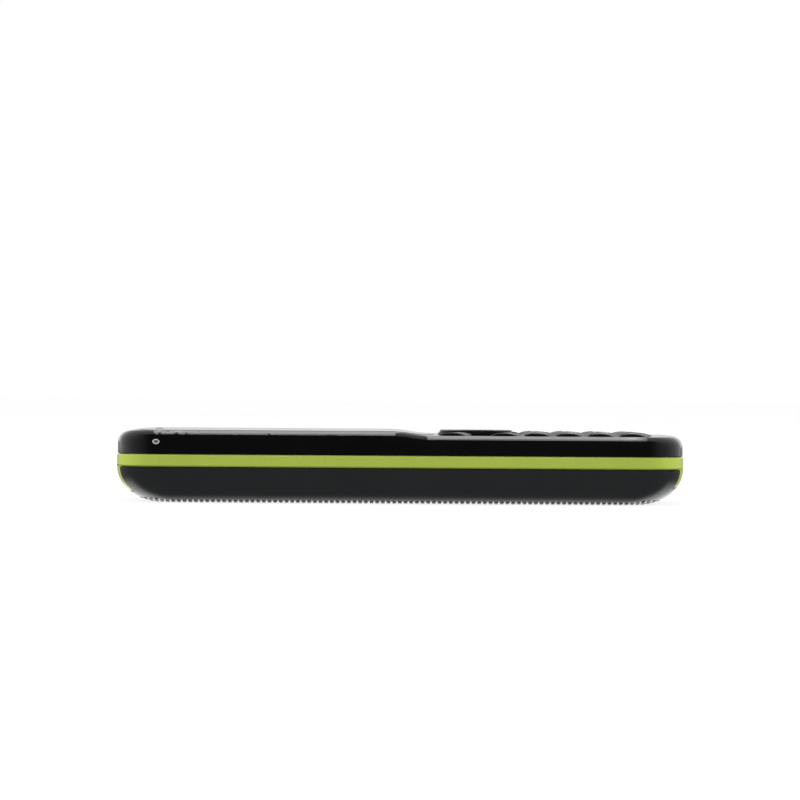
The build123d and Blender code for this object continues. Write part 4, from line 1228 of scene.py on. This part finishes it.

# %% [markdown]
# ## The studio
#
# The floor and the room are both painted by short sums of where a ray goes.
#
# ### The floor
#
# A plain white sweep. What the camera sees mostly glows, as a table lit from below does,
# and is lit only a little, so the contact shadow stays faint. The slate cover mirrors
# the floor too: in the picture its side is dark and only its lower edge is light, so for
# mirrored rays the floor's glow is painted: a painted shade in front of the phone and past
# its ends, and a painted pool of light under it. Soft light comes up from an even glow.
# From underneath the floor lets light and sight through, so a view from below still shows
# the cover.

# %% Make the floor
FLOOR_RADIUS = 3.0
FLOOR_DROP = 0.00002
SHADE_STARTS = -0.0186
SHADE_FULL = -0.0208
LIT_HALF_LENGTH = 0.048
LIT_FADE = 0.012
FLOOR_IN_SHADE = 0.25
FLOOR_IN_LIGHT = 2.2
FLOOR_AT_ENDS = 0.28
FLOOR_SOFT = 0.5
FLOOR_GLOW = 0.84

disc = bmesh.new()
bmesh.ops.create_circle(disc, cap_ends=True, segments=128, radius=FLOOR_RADIUS)
floor_mesh = bpy.data.meshes.new("floor")
disc.to_mesh(floor_mesh)
disc.free()
floor = bpy.data.objects.new("floor", floor_mesh)
floor.location = (0, 0, -FLOOR_DROP)
bpy.context.scene.collection.objects.link(floor)
material, tree, shader = start_finish(
    "white sweep",
    Roughness=0.9,
    Specular_IOR_Level=0.0,
    Emission_Color=(1, 1, 1, 1),
    Emission_Strength=FLOOR_GLOW,
)
add_colour(tree, shader, ((0.23, 0.23, 0.23), (0.21, 0.21, 0.21)), 4.0)

# %% What the phone's gloss sees of the floor
# Painted light: the glow that mirrored rays meet is a painted shade in front of the phone and
# past its ends, and a painted pool of light under it.
split = add_node(tree, "SeparateXYZ", Vector=own_place(tree))
under = add_ramp(tree, split.outputs["Y"], SHADE_FULL, SHADE_STARTS)
along = add_math(tree, "ABSOLUTE", split.outputs["X"])
past_end = add_ramp(tree, along, LIT_HALF_LENGTH, LIT_HALF_LENGTH + LIT_FADE)
lit = add_mix(tree, past_end, FLOOR_IN_LIGHT, FLOOR_AT_ENDS)
glossy_level = add_mix(tree, under, FLOOR_IN_SHADE, lit)
ray = add_node(tree, "LightPath").outputs
level = add_mix(tree, ray["Is Diffuse Ray"], glossy_level, FLOOR_SOFT)
mirrored = add_node(tree, "Emission", Strength=level).outputs["Emission"]
seen = mix_shaders(tree, ray["Is Camera Ray"], mirrored, shader.outputs["BSDF"])

# %% Let the view from below through
side_seen = add_node(tree, "NewGeometry").outputs["Backfacing"]
see_through = add_node(tree, "BsdfTransparent").outputs["BSDF"]
surface = mix_shaders(tree, side_seen, seen, see_through)
fill(tree, tree.nodes["Material Output"], Surface=surface)
floor_mesh.materials.append(material)
floor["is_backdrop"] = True

# %% [markdown]
# ### The light
#
# The picture tells where the light is by what the gloss reflects. The shell's side and the
# lower half of its rounded rim are almost black, so the room in front is dark up to almost
# overhead. A bright strip with a sharp lower edge runs along the rim: a long soft box right
# above the phone that fades out behind it. The strip ends where the corners begin,
# so the box is narrow along the phone, and it is brightest near its ends. The corners turn
# slowly from dark to pale, so the sides are between. Straight overhead the box has a narrow
# gap, like the hole that a photographer shoots through, and a view from above finds a dark
# display. The world shader paints just that, by the direction of each ray.

# %% Directions in the studio
BOX_END = 0.0472
BOX_END_FADE = 0.0012
BRIGHT_END = (BOX_END - 0.0022, BOX_END - 0.001)
HOLE_HALF = 0.045
HOLE_FADE = 0.015
BEHIND_EDGE = (-0.20, -0.14)
BEHIND_SOFT = (-0.6, 0.5)
BESIDE_FRONT = (0.15, 1.1)
BESIDE_BACK = (0.10, 0.45)
SIDE_POWER = 1.5
CEILING_POWER = 3.0

world = bpy.data.worlds.new("white studio")
bpy.context.scene.world = world
world.use_nodes = True
tree = world.node_tree
tree.nodes.clear()
direction = add_node(tree, "TexCoord").outputs["Generated"]
split = add_node(tree, "SeparateXYZ", Vector=direction)
along, across, up = [split.outputs[axis] for axis in "XYZ"]
sideways = add_math(tree, "ABSOLUTE", along)
upwards = add_math(tree, "MAXIMUM", up)
from_top = add_math(tree, "ABSOLUTE", across)
beside_front = add_ramp(tree, sideways, *BESIDE_FRONT)
beside_back = add_ramp(tree, sideways, *BESIDE_BACK)
beside_box = add_ramp(tree, sideways, BOX_END, BOX_END + BOX_END_FADE)
near_box_end = add_ramp(tree, sideways, *BRIGHT_END)
outside_hole = add_ramp(tree, from_top, HOLE_HALF, HOLE_HALF + HOLE_FADE)
behind_edge = add_ramp(tree, across, *BEHIND_EDGE)
behind = add_mix(tree, beside_front, behind_edge, add_ramp(tree, across, *BEHIND_SOFT))
raised = add_math(tree, "POWER", upwards, SIDE_POWER)
overhead = add_math(tree, "POWER", upwards, CEILING_POWER)

# %% Brightness by direction
FRONT_LEVEL = 0.045
SIDE_LEVEL = 0.42
SIDE_RISE = 0.5
BACK_LEVEL = 0.72
BACK_CORNER_LEVEL = 0.85
BOX_LEVEL = 5.6
BOX_END_LEVEL = 13.0
BESIDE_BOX_LEVEL = 0.8
HOLE_LEVEL = 0.55

side_rise = add_math(tree, "MULTIPLY", raised, SIDE_RISE)
side_light = add_math(tree, "ADD", side_rise, SIDE_LEVEL)
front_room = add_mix(tree, beside_front, FRONT_LEVEL, side_light)
back_low = add_mix(tree, beside_back, BACK_LEVEL, BACK_CORNER_LEVEL)
box = add_mix(tree, near_box_end, BOX_LEVEL, BOX_END_LEVEL)
lit_ceiling = add_mix(tree, beside_box, box, BESIDE_BOX_LEVEL)
ceiling = add_mix(tree, outside_hole, HOLE_LEVEL, lit_ceiling)
back_room = add_mix(tree, overhead, back_low, ceiling)
room = add_mix(tree, behind, front_room, back_room)

WHITE = (1, 1, 1, 1)
studio, backdrop = [
    add_node(tree, "Background", Color=WHITE, Strength=strength).outputs["Background"]
    for strength in (room, 1.0)
]
ray = add_node(tree, "LightPath").outputs
surface = mix_shaders(tree, ray["Is Camera Ray"], studio, backdrop)
add_node(tree, "OutputWorld", Surface=surface)

# %% [markdown]
# The dark room in front leaves the lime band without light. A large soft lamp in front
# lights it, and one at each side lifts the band's ends, which are lighter in the picture.
# None of them shows in a reflection, which a photographer gets with large and faint sources.

# %% Soft lamps that no gloss mirrors
FRONT_LAMP_POWER = 7.6
SIDE_LAMP_POWER = 7.0
LAMP_AIM = Vector((0.0, 0.0, 0.006))


def add_lamp(name, place, width, height, power):
    """A rectangular lamp that is aimed at the phone and unseen in any reflection."""
    data = bpy.data.lights.new(name, "AREA")
    data.shape = "RECTANGLE"
    data.size = width
    data.size_y = height
    data.energy = power
    lamp = bpy.data.objects.new(name, data)
    bpy.context.scene.collection.objects.link(lamp)
    lamp.visible_glossy = False
    lamp.visible_camera = False
    lamp.location = place
    lamp.rotation_euler = (LAMP_AIM - place).to_track_quat("-Z", "Y").to_euler()


add_lamp("front_lamp", Vector((0.0, -1.3, 0.45)), 1.2, 0.6, FRONT_LAMP_POWER)
for side in (-1, 1):
    add_lamp("side_lamp", Vector((side * 1.1, 0.0, 0.5)), 0.6, 0.6, SIDE_LAMP_POWER)

# %% [markdown]
# The Standard view keeps white white. The default one would turn the backdrop grey.

# %% Choose the view
bpy.context.scene.view_settings.view_transform = "Standard"
bpy.context.scene.view_settings.look = "None"

# %% [markdown]
# ## Measure and finish
#
# The size of the dressed phone is measured over every shown piece except the floor, and
# printed. The dressed phone has to stay inside the CAD box.

# %% Measure the dressed phone
low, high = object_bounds()
print("dressed phone in mm:", [round((b - a) * 1000, 2) for a, b in zip(low, high)])
